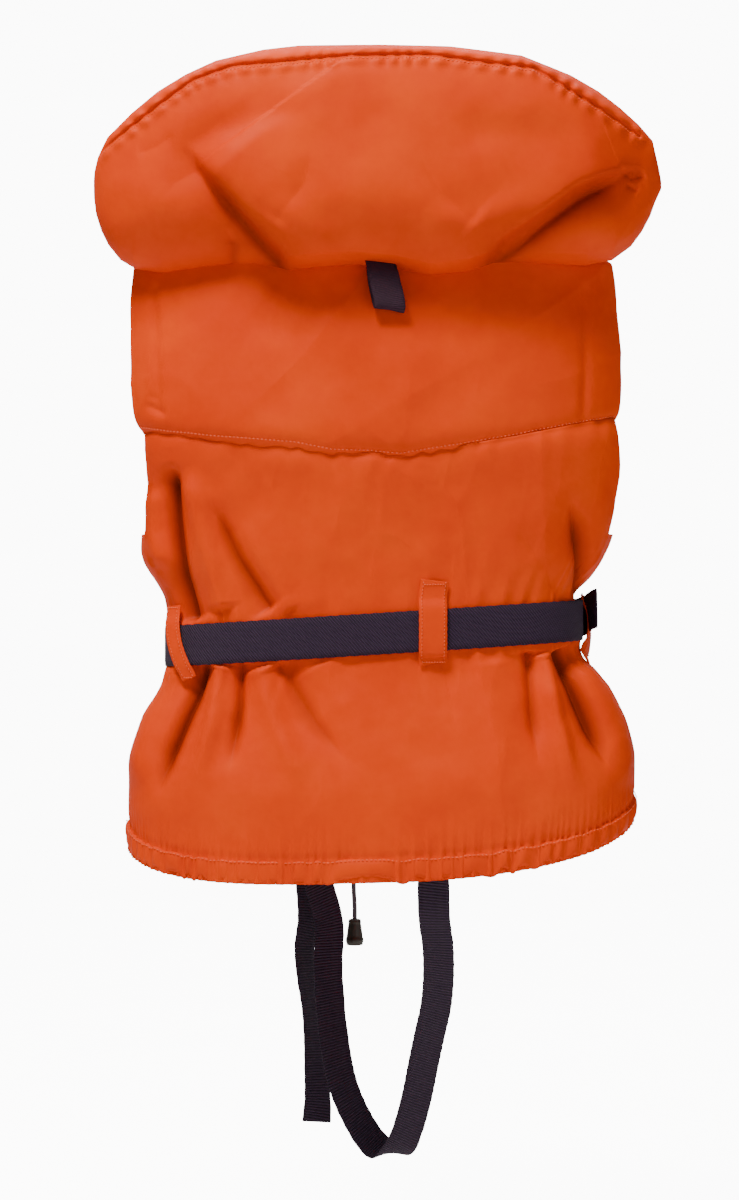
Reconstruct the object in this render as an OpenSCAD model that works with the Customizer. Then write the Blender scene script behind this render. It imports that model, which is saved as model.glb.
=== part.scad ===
// Foam life jacket: a waistcoat with a head-support collar, a waist belt and a crotch strap.
// Frame: +Z up, the front faces -Y and the back +Y, the wearer's left is +X.
// The origin is the middle of the neck opening, level with the base of the neck.

/* [Waistcoat] */
// Half width over the chest
chest_half_w = 247; // [235:1:255]
// Half width under the waist belt
waist_half_w = 214; // [208:1:220]
// Half width of the gathered skirt near the hem
skirt_half_w = 258; // [248:1:264]
// Depth from the side line to the back of the yoke
yoke_depth = 122; // [118:1:128]
// Depth from the side line to the zip
zip_depth = 131; // [128:1:140]
// Squareness of the plan outline, 1 is an ellipse
corner = 0.75; // [0.7:0.01:0.85]

/* [Foam] */
// Thickness of the yoke foam
yoke_foam_t = 24; // [15:1:30]
// How far the front foam stands out beyond the zip
front_foam_rise = 40; // [30:1:44]
// Thickness of the shoulder foam
shoulder_foam_t = 15; // [10:1:20]

/* [Collar] */
// Half width of the collar
collar_half_w = 285; // [260:1:290]
// Height of the collar's top edge
collar_top = 206; // [190:1:215]
// Half thickness of the collar behind its middle sheet
collar_back_t = 46; // [36:1:50]
// Half thickness of the collar on the head side
collar_head_t = 28; // [20:1:32]

/* [Cloth and webbing] */
// Thickness of the outer cloth and the lining
cloth_t = 1; // [0.6:0.1:1.2]
// Width of the waist belt
belt_w = 40; // [36:1:42]
// Thickness of the belt webbing
belt_t = 1.8; // [1.2:0.1:2]
// Height of the belt's middle at the centre line
belt_z = -361; // [-364:1:-358]
// Rise of the belt towards the wearer's right
belt_slope = 0.063; // [0:0.001:0.07]
// Width of the crotch strap
crotch_w = 30; // [25:1:32]
// Thickness of the crotch strap
crotch_t = 1.8; // [1.2:0.1:2]

/* [Hardware] */
// Pitch of the zip teeth
tooth_pitch = 8; // [7:0.5:10]
// Height of the zip's top stop
zip_top = -98; // [-110:1:-96]
// Height of the zip's bottom box
zip_bottom = -546; // [-550:1:-520]
// Length of the zip pull
pull_length = 30; // [20:1:34]
// Diameter of the hem drawcord
drawcord_d = 5; // [4:0.5:6]
// Diameter of the whistle lanyard
lanyard_d = 2; // [1.5:0.5:2.5]

/* [Hidden] */
$fn = 32;

// Play left between neighbouring layers and pieces
gap = 0.5;
// Outer faces of the layers, measured from the outside of the outer cloth
foam_out = -cloth_t - gap;
yoke_foam_in = foam_out - yoke_foam_t;
yoke_lining_out = yoke_foam_in - gap;
front_foam_in = foam_out - 6;
front_lining_out = front_foam_in - gap;

// Edges of the panels around the body, in degrees from the wearer's left towards the back
side_back_u = 25;
side_front_u = 28;
zip_edge_u = 1.7;
// Flat band that the belt lies on
belt_band_hi = -326;
belt_band_lo = -402;
armhole_z = -262;
hem_h = 20;

// Half width, back depth and front foam share at each height
side_profile = [
  [20, chest_half_w - 14], [-30, chest_half_w - 3], [-70, chest_half_w], [-150, chest_half_w],
  [-200, chest_half_w - 4], [armhole_z, chest_half_w - 9], [-300, waist_half_w + 13],
  [belt_band_hi, waist_half_w], [belt_band_lo, waist_half_w], [-430, waist_half_w + 14],
  [-470, skirt_half_w - 12], [-510, skirt_half_w - 2], [-545, skirt_half_w], [-620, skirt_half_w - 3]
];
back_profile = [
  [20, yoke_depth - 20], [-30, yoke_depth - 9], [-70, yoke_depth - 2], [-170, yoke_depth],
  [-200, yoke_depth - 8], [armhole_z, yoke_depth - 14], [belt_band_hi, yoke_depth - 19],
  [belt_band_lo, yoke_depth - 19], [-450, yoke_depth - 8], [-510, yoke_depth + 4],
  [-620, yoke_depth + 6]
];
foam_profile = [
  [20, 0.5], [-45, 0.8], [-100, 1], [-280, 1], [belt_band_hi, 0.78], [belt_band_lo, 0.78],
  [-440, 0.95], [-520, 0.9], [-560, 0.3], [-620, 0.3]
];

function signed_pow(v, p) = sign(v) * pow(abs(v), p);
function ease(v) = let (t = min(1, max(0, v))) t * t * (3 - 2 * t);
function from_front(u) = abs(((u + 90) % 360 + 360 + 180) % 360 - 180);
// The front foam rises beside the zip and dies away towards the side seam
function foam_fall(u) = 1 - ease((from_front(u) - 45) / 43);
function foam_rise(u) = ease((from_front(u) - zip_edge_u) / 7.5);
function foam_at(u, z) = front_foam_rise * lookup(z, foam_profile) * foam_fall(u);
// A point of the waistcoat at angle u and height z, d outside its cloth; k = 1 follows the foam,
// k = 0 is the inside of it, and k = 2 bridges the valley at the zip
function skin(u, z, d, k = 1) =
  let (
    c = cos(u),
    s = sin(u),
    a = lookup(z, side_profile) + d,
    bulge = k == 0 ? 0 : (k == 2 ? 1 : foam_rise(u)) * foam_at(u, z),
    b = (s >= 0 ? lookup(z, back_profile) : zip_depth + bulge) + d
  )
  [a * signed_pow(c, corner), b * signed_pow(s, corner), z];

function steps(a, b, n) = [for (i = [0:n]) a + (b - a) * i / n];
// Seam of the yoke and edge of the hem, which both dip at the middle of the back
function seam_z(u) = -158 - 11 * cos(u) - 28 * max(0, sin(u));
function hem_z(u) = -557 - 14 * cos(u) - 43 * max(0, sin(u));
function belt_mid(u) = belt_z - belt_slope * (waist_half_w + 2) * signed_pow(cos(u), corner);
function front_top_z(u) = -95 + 50 * ease((from_front(u) - zip_edge_u) / 28);

// Closed sheet between two grids of points, rows from the top and columns from the left
module slab(outer, inner) {
  rows = len(outer) - 1;
  cols = len(outer[0]) - 1;
  n = (rows + 1) * (cols + 1);
  function o(r, c) = r * (cols + 1) + c;
  function i(r, c) = n + o(r, c);
  points = concat([for (row = outer) each row], [for (row = inner) each row]);
  faces = concat(
    [for (r = [0:rows - 1], c = [0:cols - 1]) each [
      [o(r, c), o(r, c + 1), o(r + 1, c + 1)], [o(r, c), o(r + 1, c + 1), o(r + 1, c)],
      [i(r, c), i(r + 1, c + 1), i(r, c + 1)], [i(r, c), i(r + 1, c), i(r + 1, c + 1)]
    ]],
    [for (c = [0:cols - 1]) each [
      [o(0, c + 1), o(0, c), i(0, c)], [o(0, c + 1), i(0, c), i(0, c + 1)],
      [o(rows, c), o(rows, c + 1), i(rows, c + 1)], [o(rows, c), i(rows, c + 1), i(rows, c)]
    ]],
    [for (r = [0:rows - 1]) each [
      [o(r, 0), o(r + 1, 0), i(r + 1, 0)], [o(r, 0), i(r + 1, 0), i(r, 0)],
      [o(r + 1, cols), o(r, cols), i(r, cols)], [o(r + 1, cols), i(r, cols), i(r + 1, cols)]
    ]]
  );
  polyhedron(points, faces, convexity = 6);
}

// Sheet of the waistcoat: rows are functions of u, d_out and d_in its two faces
module panel(us, rows, d_out, d_in, k_out = 1, k_in = 1) {
  slab(
    [for (row = rows) [for (u = us) skin(u, row(u), d_out, k_out)]],
    [for (row = rows) [for (u = us) skin(u, row(u), d_in, k_in)]]
  );
}
function level(z) = function (u) z;

// Points between the route points, three to a stretch, on a smooth curve
function spline_pt(p, i, t) =
  let (
    n = len(p),
    a = p[max(i - 1, 0)],
    b = p[i],
    c = p[min(i + 1, n - 1)],
    d = p[min(i + 2, n - 1)]
  )
  0.5 * (2 * b + (c - a) * t + (2 * a - 5 * b + 4 * c - d) * t * t
    + (3 * b - a - 3 * c + d) * t * t * t);
function smooth_route(p, n = 3) = concat(
  [for (i = [0:len(p) - 2], j = [0:n - 1]) spline_pt(p, i, j / n)], [p[len(p) - 1]]
);
function unit(v) = v / norm(v);
function tangent(p, i) = unit(p[min(i + 1, len(p) - 1)] - p[max(i - 1, 0)]);

// Tube or strap of half width hw and half thickness ht swept along a route; across[i] is the
// direction of its width
module swept(p, across, hw, ht, sides = 8) {
  n = len(p);
  rings = [for (i = [0:n - 1])
    let (
      t = tangent(p, i),
      w = unit(across[i] - (across[i] * t) * t),
      h = cross(t, w)
    )
    for (k = [0:sides - 1])
      let (a = 360 * (k + 0.5) / sides)
      p[i] + hw * signed_pow(cos(a), 0.35) * w + ht * signed_pow(sin(a), 0.35) * h
  ];
  faces = concat(
    [for (i = [0:n - 2], k = [0:sides - 1])
      let (k2 = (k + 1) % sides)
      each [
        [i * sides + k, i * sides + k2, (i + 1) * sides + k2],
        [i * sides + k, (i + 1) * sides + k2, (i + 1) * sides + k]
      ]],
    [for (k = [1:sides - 2]) [0, k + 1, k]],
    [for (k = [1:sides - 2]) [(n - 1) * sides, (n - 1) * sides + k, (n - 1) * sides + k + 1]]
  );
  polyhedron(rings, [for (f = faces) [f[0], f[2], f[1]]], convexity = 6);
}
module round_cord(p, d) {
  n = len(p);
  sides = 8;
  rings = [for (i = [0:n - 1])
    let (
      t = tangent(p, i),
      w = unit(cross(t, [0.31, 0.9, 0.2])),
      h = cross(t, w)
    )
    for (k = [0:sides - 1])
      let (a = 360 * (k + 0.5) / sides)
      p[i] + d / 2 * (cos(a) * w + sin(a) * h)
  ];
  faces = concat(
    [for (i = [0:n - 2], k = [0:sides - 1])
      let (k2 = (k + 1) % sides)
      each [
        [i * sides + k, (i + 1) * sides + k2, i * sides + k2],
        [i * sides + k, (i + 1) * sides + k, (i + 1) * sides + k2]
      ]],
    [for (k = [1:sides - 2]) [0, k, k + 1]],
    [for (k = [1:sides - 2]) [(n - 1) * sides, (n - 1) * sides + k + 1, (n - 1) * sides + k]]
  );
  polyhedron(rings, faces, convexity = 6);
}

// Route of the crotch strap: x, y, z and the tilt of its width in the XZ plane
crotch_route = [
  [-54, 118, -592, 0], [-55, 110, -636, 0], [-59, 97, -667, 2], [-60, 82, -698, 4],
  [-58, 66, -730, 8], [-52, 50, -762, 14], [-46, 34, -795, 16], [-40, 20, -829, 18],
  [-32, 8, -862, 18], [-23, -4, -886, 12], [-10, -22, -896, -8], [6, -42, -888, -26],
  [22, -58, -866, -36], [35, -70, -838, -28], [43, -82, -805, -14], [49, -98, -762, -4],
  [52, -112, -717, 2], [51, -121, -676, 4], [60, -127, -640, 10], [70, -131, -612, 4],
  [75, -132.6, -596, 0]
];
// Route of the crotch strap's loose tail
tail_route = [
  [75, -139, -604, 0], [73, -141, -636, 0], [73, -142, -669, -2], [78, -143, -701, 0],
  [76, -143, -734, 2], [71, -143, -766, 2], [68, -143, -798, 2], [66, -143, -831, 0],
  [64, -143, -864, 0], [65, -142, -890, 0]
];
// Route of the drawcord, from its eyelet to its bell
drawcord_route = [
  [25, -140, -549], [25, -143, -550], [25, -146, -554], [25, -149, -562], [25, -150, -576],
  [25, -150, -600], [25, -150, -620], [25, -150, -640], [24, -150, -660], [24, -150, -674]
];
// Route of the whistle lanyard, from the belt to the whistle
lanyard_route = [
  [217, -30, -397], [219, -34, -408], [227, -47, -428], [235, -64, -452], [241, -82, -475],
  [241, -101, -492]
];

function xyz(p) = [p[0], p[1], p[2]];
function tilt(p) = [cos(p[3]), 0, sin(p[3])];
module webbing(route, w, t, n = 3) {
  fine = smooth_route(route, n);
  swept([for (p = fine) xyz(p)], [for (p = fine) tilt(p)], w / 2, t / 2);
}

// Outer cloth over the foam of the upper back
yoke_us = steps(side_back_u, 180 - side_back_u, 16);
yoke_rows = [
  function (u) -16, level(-45), level(-85), level(-125), function (u) seam_z(u) + gap
];
module yoke_cover() {
  color("#E8501A") panel(yoke_us, yoke_rows, 0, -cloth_t);
}
module yoke_foam() {
  color("#F2E8CF") panel(yoke_us, yoke_rows, foam_out, yoke_foam_in);
}
module back_lining() {
  color("#D9481A") panel(yoke_us, yoke_rows, yoke_lining_out, yoke_lining_out - cloth_t);
}

// Cinched cloth of the lower back, from the yoke seam to the hem
module back_panel() {
  color("#E8501A")
    panel(
      steps(side_back_u, 180 - side_back_u, 22),
      [
        function (u) seam_z(u) - gap, level(-230), level(armhole_z), level(-300), level(belt_band_hi),
        level(belt_band_lo), level(-430), level(-470), level(-510),
        function (u) hem_z(u) + hem_h + gap
      ],
      0, -cloth_t
    );
}

// Side panel below an armhole, which joins the back to the front
module side_panel(us) {
  color("#DE4A17")
    panel(
      us,
      [
        level(armhole_z), level(-300), level(belt_band_hi), level(belt_band_lo), level(-430),
        level(-470), level(-510), function (u) hem_z(u) + hem_h + gap
      ],
      0, -cloth_t
    );
}
module side_panel_left() {
  side_panel(steps(-side_front_u + 0.3, side_back_u - 0.3, 7));
}
module side_panel_right() {
  side_panel(steps(180 - side_back_u + 0.3, 180 + side_front_u - 0.3, 7));
}

// Front halves: outer cloth, foam and lining, left half at the larger angles
front_left_us = concat(
  [270 + zip_edge_u, 273, 275, 277.5, 280], steps(285, 315, 5), [322, 332 - 0.3]
);
front_right_us = [for (i = [len(front_left_us) - 1:-1:0]) 540 - front_left_us[i]];
front_rows = [
  function (u) front_top_z(u), level(-120), level(-200), level(-280), level(belt_band_hi),
  level(belt_band_lo), level(-440), level(-490), level(-520),
  function (u) hem_z(u) + hem_h + gap
];
module front_cover(us) {
  color("#E8501A") panel(us, front_rows, 0, -cloth_t);
}
module front_cover_left() {
  front_cover(front_left_us);
}
module front_cover_right() {
  front_cover(front_right_us);
}
module front_foam(us) {
  color("#F2E8CF") panel(us, front_rows, foam_out, front_foam_in, 1, 0);
}
module front_foam_left() {
  front_foam(front_left_us);
}
module front_foam_right() {
  front_foam(front_right_us);
}
module front_lining(us) {
  color("#D9481A") panel(us, front_rows, front_lining_out, front_lining_out - cloth_t, 0, 0);
}
module front_lining_left() {
  front_lining(front_left_us);
}
module front_lining_right() {
  front_lining(front_right_us);
}

// Shoulder pad over one shoulder, from the yoke to the front; side is 1 on the wearer's left
shoulder_inner_x = 98;
shoulder_outer_x = 200;
// Its ends butt against the linings of the yoke and of the front
shoulder_back = [chest_half_w - 34, yoke_depth - 41];
shoulder_front = [chest_half_w - 12, zip_depth - 10];
function plan_y(x, half) = half[1] * pow(1 - pow(abs(x) / half[0], 2 / corner), corner / 2);
function shoulder_z(x, y) =
  -10 - 0.17 * (abs(x) - shoulder_inner_x) - (y > -8 ? 0.0014 : 0.0026) * pow(y + 8, 2);
module shoulder_layer(side, top, bottom) {
  xs = side > 0 ? steps(shoulder_inner_x, shoulder_outer_x, 4)
    : steps(-shoulder_outer_x, -shoulder_inner_x, 4);
  function y_at(x, t) = plan_y(x, shoulder_back) * (1 - t) - plan_y(x, shoulder_front) * t;
  function face(height) =
    [for (t = steps(0, 1, 8)) [for (x = xs) [x, y_at(x, t), shoulder_z(x, y_at(x, t)) + height]]];
  slab(face(top), face(bottom));
}
module shoulder_cover_left() {
  color("#E8501A") shoulder_layer(1, 0, -cloth_t);
}
module shoulder_cover_right() {
  color("#E8501A") shoulder_layer(-1, 0, -cloth_t);
}
module shoulder_foam_left() {
  color("#F2E8CF") shoulder_layer(1, foam_out, foam_out - shoulder_foam_t);
}
module shoulder_foam_right() {
  color("#F2E8CF") shoulder_layer(-1, foam_out, foam_out - shoulder_foam_t);
}

// Casing sewn along the bottom edge for the drawcord, open at the zip
module hem_casing() {
  us = concat([270 + zip_edge_u], steps(276, 624, 42), [630 - zip_edge_u]);
  color("#E8501A")
    panel(
      us,
      [
        function (u) hem_z(u) + hem_h, function (u) hem_z(u) + hem_h / 2, function (u) hem_z(u)
      ],
      1.5, -5
    );
}

// Plain retroreflective patches sewn on the chest, one on each side
module reflective_patches() {
  color("#C9CDD2")
    for (us = [steps(288, 306, 4), steps(234, 252, 4)])
      panel(us, [level(-125), level(-150), level(-175)], gap + 0.6, gap);
}

// Collar cushion: one half of it, from the sheet at depth k0 to the sheet at depth k1
collar_bottom = -5;
collar_mid_z = 85;
collar_seam_y = 100;
collar_lean = 0.14;
collar_wrap = 42;
collar_edge_t = 3;
collar_cloth_y = 1.2;
function collar_half(t) =
  let (n = t > 0 ? 2.25 : 4.2)
  max(0.34, pow(max(0, 1 - pow(abs(t), n)), 1 / n)) * collar_half_w;
function collar_z(t) = collar_mid_z + t * (t > 0 ? collar_top - collar_mid_z : collar_mid_z - collar_bottom);
function collar_fill(s, t) = pow(1 - pow(abs(s), 6), 0.5) * pow(1 - pow(abs(t), 6), 0.5);
function collar_pt(s, t, depth, inset, shift) =
  let (
    x = s * (collar_half(t) - inset),
    z = collar_z(t * (1 - inset / 110)),
    mid = collar_seam_y + collar_lean * z - collar_wrap * pow(x / collar_half_w, 2)
  )
  [x, mid + sign(depth) * collar_edge_t / 2 + depth * collar_fill(s, t) + shift, z];
collar_ts = [1, 0.93, 0.8, 0.6, 0.35, 0, -0.35, -0.65, -0.85, -0.95, -1];
collar_ss = [1, 0.95, 0.85, 0.7, 0.5, 0.25, 0, -0.25, -0.5, -0.7, -0.85, -0.95, -1];
function collar_sheet(depth, inset, shift) = [
  for (t = collar_ts) [for (s = collar_ss) collar_pt(s, t, depth, inset, shift)]
];
module collar_back_cover() {
  color("#E8501A") slab(collar_sheet(collar_back_t, 0, 0), collar_sheet(collar_back_t, 0, -collar_cloth_y));
}
module collar_head_cover() {
  color("#E8501A") slab(collar_sheet(-collar_head_t, 0, collar_cloth_y), collar_sheet(-collar_head_t, 0, 0));
}
module collar_foam() {
  color("#F2E8CF")
    slab(
      collar_sheet(collar_back_t - cloth_t - 3 * gap, 3, 0),
      collar_sheet(-collar_head_t + cloth_t + 3 * gap, 3, 0)
    );
}

// Ribbon loop for hanging and lifting, under the back of the collar
grab_w = 30;
grab_r = 5;
grab_x = -6;
grab_y = 123;
grab_top = -19;
grab_length = 26;
module stadium(r, length) {
  hull() {
    circle(r);
    translate([0, -length]) circle(r);
  }
}
module grab_loop() {
  color("#33264A")
    translate([grab_x - grab_w / 2, grab_y, grab_top])
      rotate([90, 0, 90])
        linear_extrude(grab_w)
          difference() {
            stadium(grab_r, grab_length);
            stadium(grab_r - 1.2, grab_length);
          }
}

// Waist belt round the jacket, from one half of the buckle to the other
belt_play = 1;
belt_in = belt_play;
belt_out = belt_in + belt_t;
module belt_strip(us, d_out, d_in, half_w) {
  panel(us, [function (u) belt_mid(u) + half_w, function (u) belt_mid(u) - half_w], d_out, d_in, 2, 2);
}
module waist_belt() {
  color("#33264A") belt_strip(concat([275], steps(282, 618, 48), [625]), belt_out, belt_in, belt_w / 2);
}
// Free end of the belt, doubled back on the wearer's right
module belt_tail() {
  color("#33264A") belt_strip(steps(188, 262, 14), belt_out + gap + belt_t, belt_out + gap, belt_w / 2);
}

// Cloth strip that the belt runs through, sewn above and below it
loop_cover = belt_out + gap + belt_t + gap;
module belt_loop(us, above, below) {
  levels = [above, above - 14, belt_w / 2 + 2, -belt_w / 2 - 2, -below + 14, -below];
  outs = [gap, gap, loop_cover, loop_cover, gap, gap];
  color("#F0542A")
    slab(
      [for (i = [0:5]) [for (u = us) skin(u, belt_mid(u) + levels[i], outs[i] + cloth_t, 2)]],
      [for (i = [0:5]) [for (u = us) skin(u, belt_mid(u) + levels[i], outs[i], 2)]]
    );
}
module belt_loop_back() {
  belt_loop([92.6, 95, 97.6], 50, 42);
}
module belt_loop_left() {
  belt_loop([9, 13, 17], 42, 42);
}
module belt_loop_right() {
  belt_loop([168, 171.5, 175], 42, 42);
}
module belt_loops_front() {
  belt_loop([308, 311, 314], 42, 42);
  belt_loop([226, 229, 232], 42, 42);
}

// Side-release buckle at the front, in front of the belt's two ends
buckle_back_y = -(zip_depth + front_foam_rise * 0.78 + belt_out + 2 * gap + belt_t);
buckle_t = 13;
buckle_z = belt_z;
buckle_parting = -4;
module box_at(x0, x1, y0, y1, z0, z1) {
  translate([x0, y0, z0]) cube([x1 - x0, y1 - y0, z1 - z0]);
}
module in_buckle() {
  translate([0, buckle_back_y - buckle_t / 2, buckle_z]) children();
}
module buckle_socket() {
  color("#1B1722") in_buckle() difference() {
    box_at(buckle_parting, 44, -buckle_t / 2, buckle_t / 2, -27, 27);
    box_at(buckle_parting - 1, 30, -4, 4, -21, 21);
    box_at(8, 26, -4, 4, -28, 28);
    box_at(34, 39, -buckle_t, buckle_t, -21, 21);
  }
}
module buckle_plug() {
  color("#1B1722") in_buckle() {
    difference() {
      box_at(-44, buckle_parting - 0.6, -5.5, 5.5, -25, 25);
      box_at(-39, -34, -buckle_t, buckle_t, -21, 21);
      box_at(-29, -24, -buckle_t, buckle_t, -21, 21);
    }
    box_at(buckle_parting - 0.7, 24, -3, 3, -6, 6);
  }
}
// Sprung arm of the plug, with the barb that catches in the socket's window
arm_root_x = buckle_parting + 0.2;
arm_mid_z = 14.5;
module buckle_arm(side) {
  color("#1B1722") in_buckle() scale([1, 1, side]) {
    box_at(arm_root_x, 22, -3, 3, 12, 17);
    box_at(11, 22, -3, 3, 16.9, 24);
  }
}
module buckle_arm_upper() {
  buckle_arm(1);
}
module buckle_arm_lower() {
  color("#1B1722") in_buckle() {
    box_at(arm_root_x, 22, -3, 3, -17, -12);
    box_at(11, 22, -3, 3, -24, -16.9);
  }
}

// Moulded-tooth front zip; the teeth meet along the centre line
tape_t = 0.8;
tape_w = 10;
tooth_reach = 0.8;
tooth_root = 4.5;
tooth_h = tooth_pitch / 2 - 0.4;
tooth_t = 3;
zip_y = -zip_depth + 2;
module zip_tape_left() {
  color("#C9461B") box_at(tooth_root + 0.1, tooth_root + tape_w, zip_y - tape_t / 2, zip_y + tape_t / 2,
    zip_bottom, zip_top);
}
module zip_tape_right() {
  color("#C9461B") box_at(-tooth_root - tape_w, -tooth_root - 0.1, zip_y - tape_t / 2, zip_y + tape_t / 2,
    zip_bottom, zip_top);
}
module zip_teeth(side, shift) {
  count = floor((zip_top - zip_bottom - 12) / tooth_pitch);
  color("#20202A") {
    for (i = [0:count - 1])
      translate([0, 0, zip_bottom + 8 + shift + i * tooth_pitch])
        box_at(side > 0 ? tooth_reach : -tooth_root, side > 0 ? tooth_root : -tooth_reach,
          zip_y - tooth_t / 2, zip_y + tooth_t / 2, 0, tooth_h);
    box_at(side > 0 ? tooth_root - 1 : -tooth_root, side > 0 ? tooth_root : -tooth_root + 1,
      zip_y - 0.9, zip_y + 0.9, zip_bottom + 7, zip_top - 2);
  }
}
module zip_teeth_left() {
  zip_teeth(1, 0);
}
module zip_teeth_right() {
  zip_teeth(-1, tooth_pitch / 2);
}
module zip_stops() {
  color("#20202A") for (x0 = [1, -tooth_root])
    box_at(x0, x0 + 3.5, zip_y - 1.4, zip_y + 1.4, zip_top - 1.8, zip_top + 2);
}
module zip_box() {
  color("#20202A") box_at(-7, 7, zip_y - 2.6, zip_y + 2.6, zip_bottom - 8, zip_bottom - 0.2);
}

// Slider: two plates joined between the rows of teeth, with lugs for the pull's pin
slider_z = zip_top - 14;
slider_w = 13;
slider_h = 15;
slider_gap = tooth_t / 2 + 0.4;
slider_plate = 1.4;
slider_face = zip_y - slider_gap - slider_plate;
pin_r = 1;
pin_y = slider_face - 3.2;
pin_z = slider_z + 2;
module zip_slider() {
  color("#2A2A33") {
    box_at(-slider_w / 2, slider_w / 2, slider_face, slider_face + slider_plate,
      slider_z - slider_h / 2, slider_z + slider_h / 2);
    box_at(-slider_w / 2, slider_w / 2, zip_y + slider_gap, zip_y + slider_gap + slider_plate,
      slider_z - slider_h / 2, slider_z + slider_h / 2);
    box_at(-0.45, 0.45, slider_face + 0.5, zip_y + slider_gap + 0.5, slider_z + 2, slider_z + slider_h / 2);
    for (x0 = [-5, 3.4])
      box_at(x0, x0 + 1.6, pin_y - 1.8, slider_face + 0.2, pin_z - 1.8, pin_z + 1.8);
    translate([-4.9, pin_y, pin_z]) rotate([0, 90, 0]) cylinder(r = pin_r, h = 9.8);
  }
}
module zip_pull() {
  color("#2A2A33")
    difference() {
      union() {
        translate([-3, pin_y, pin_z]) rotate([0, 90, 0]) cylinder(r = 2.4, h = 6);
        box_at(-3, 3, pin_y - 1, pin_y + 1, pin_z - 10, pin_z);
        box_at(-5.5, 5.5, pin_y - 1, pin_y + 1, pin_z - pull_length, pin_z - 8);
      }
      translate([-4, pin_y, pin_z]) rotate([0, 90, 0]) cylinder(r = pin_r + 0.15, h = 8);
      translate([0, pin_y + 2, pin_z - pull_length + 5]) rotate([90, 0, 0]) cylinder(r = 2, h = 4);
    }
}

// Eyelets where the drawcord leaves the hem
eyelet_z = -549;
eyelet_y = -139.2;
module hem_eyelets() {
  color("#B9BDC2") for (x = [25, -25])
    translate([x, eyelet_y, eyelet_z]) rotate([-90, 0, 0])
      difference() {
        cylinder(r = 6, h = 1.4);
        translate([0, 0, -1]) cylinder(r = 3.2, h = 4);
      }
}

module drawcord() {
  color("#3A3448") round_cord(smooth_route(drawcord_route, 2), drawcord_d);
}

// Cord lock on the drawcord: barrel, sprung plunger and its spring
lock_z = -588;
lock_x = 25;
lock_y = -150;
lock_r = 9;
plunger_r = 6;
lock_bore = drawcord_d / 2 + 0.4;
module in_lock() {
  translate([lock_x, lock_y, lock_z]) children();
}
module cord_lock_body() {
  color("#1B1722") in_lock() difference() {
    translate([-11, 0, 0]) rotate([0, 90, 0]) cylinder(r = lock_r, h = 20);
    translate([-8.5, 0, 0]) rotate([0, 90, 0]) cylinder(r = plunger_r + 0.3, h = 20);
    translate([0, 0, -20]) cylinder(r = lock_bore, h = 40);
  }
}
module cord_lock_plunger() {
  color("#2A2530") in_lock() difference() {
    translate([-5, 0, 0]) rotate([0, 90, 0]) cylinder(r = plunger_r, h = 19);
    hull() for (x = [0, 2.4])
      translate([x, 0, -20]) cylinder(r = lock_bore, h = 40);
  }
}
module cord_lock_spring() {
  color("#C8C8CC") in_lock() translate([-8.4, 0, 0]) rotate([0, 90, 0])
    difference() {
      cylinder(r = 4.5, h = 1);
      translate([0, 0, -1]) cylinder(r = 3.3, h = 3);
    }
}

// Bell that covers the knot at the cord's end
bell_top = -673;
bell_h = 27;
module drawcord_bell() {
  color("#2B2724") translate([24, lock_y, bell_top])
    rotate_extrude()
      polygon([
        [drawcord_d / 2 + 0.1, 0], [6, 0], [6.8, -2], [6.8, -4], [8.6, -19], [9.6, -20],
        [9.6, -24], [8.4, -bell_h], [0, -bell_h], [0, -6], [drawcord_d / 2 + 0.1, -6]
      ]);
}

// Crotch strap with its tabs, adjuster and loose tail
module crotch_strap() {
  color("#33264A") webbing(crotch_route, crotch_w, crotch_t);
}
module crotch_back_tab() {
  color("#33264A") box_at(-69, -39, 118.5, 120.3, -585, -560);
}
module crotch_front_tab() {
  color("#33264A") box_at(60, 90, -133.5, -131.7, -568, -552);
}
adjuster_z = -590;
module crotch_adjuster() {
  color("#1B1722") translate([75, -136, adjuster_z]) difference() {
    box_at(-19, 19, -2, 2, -13, 13);
    box_at(-15.5, 15.5, -3, 3, 3, 9);
    box_at(-15.5, 15.5, -3, 3, -9, -3);
  }
}
module crotch_tail() {
  color("#33264A") webbing(tail_route, crotch_w - 1, crotch_t);
}

// Pealess whistle on its lanyard
module whistle_lanyard() {
  color("#E3C63C") round_cord(smooth_route(lanyard_route, 3), lanyard_d);
}
module whistle() {
  color("#E07A1E") translate([241, -101, -491])
    difference() {
      union() {
        translate([0, 0, -46]) cylinder(r = 8, h = 30);
        translate([-5, -7, -22]) cube([10, 14, 14]);
        translate([0, 0, -10]) cylinder(r = 3.4, h = 9);
      }
      translate([0, 0, -44]) cylinder(r = 6.4, h = 22);
      translate([-2, -8, -19]) cube([4, 9, 8]);
    }
}

yoke_cover();
yoke_foam();
back_lining();
back_panel();
side_panel_left();
side_panel_right();
front_cover_left();
front_cover_right();
front_foam_left();
front_foam_right();
front_lining_left();
front_lining_right();
shoulder_cover_left();
shoulder_cover_right();
shoulder_foam_left();
shoulder_foam_right();
hem_casing();
reflective_patches();
collar_back_cover();
collar_head_cover();
collar_foam();
grab_loop();
waist_belt();
belt_tail();
belt_loop_back();
belt_loop_left();
belt_loop_right();
belt_loops_front();
buckle_socket();
buckle_plug();
buckle_arm_upper();
buckle_arm_lower();
zip_tape_left();
zip_tape_right();
zip_teeth_left();
zip_teeth_right();
zip_stops();
zip_box();
zip_slider();
zip_pull();
hem_eyelets();
drawcord();
cord_lock_body();
cord_lock_plunger();
cord_lock_spring();
drawcord_bell();
crotch_strap();
crotch_front_tab();
crotch_back_tab();
crotch_adjuster();
crotch_tail();
whistle();
whistle_lanyard();
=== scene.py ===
import math

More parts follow.
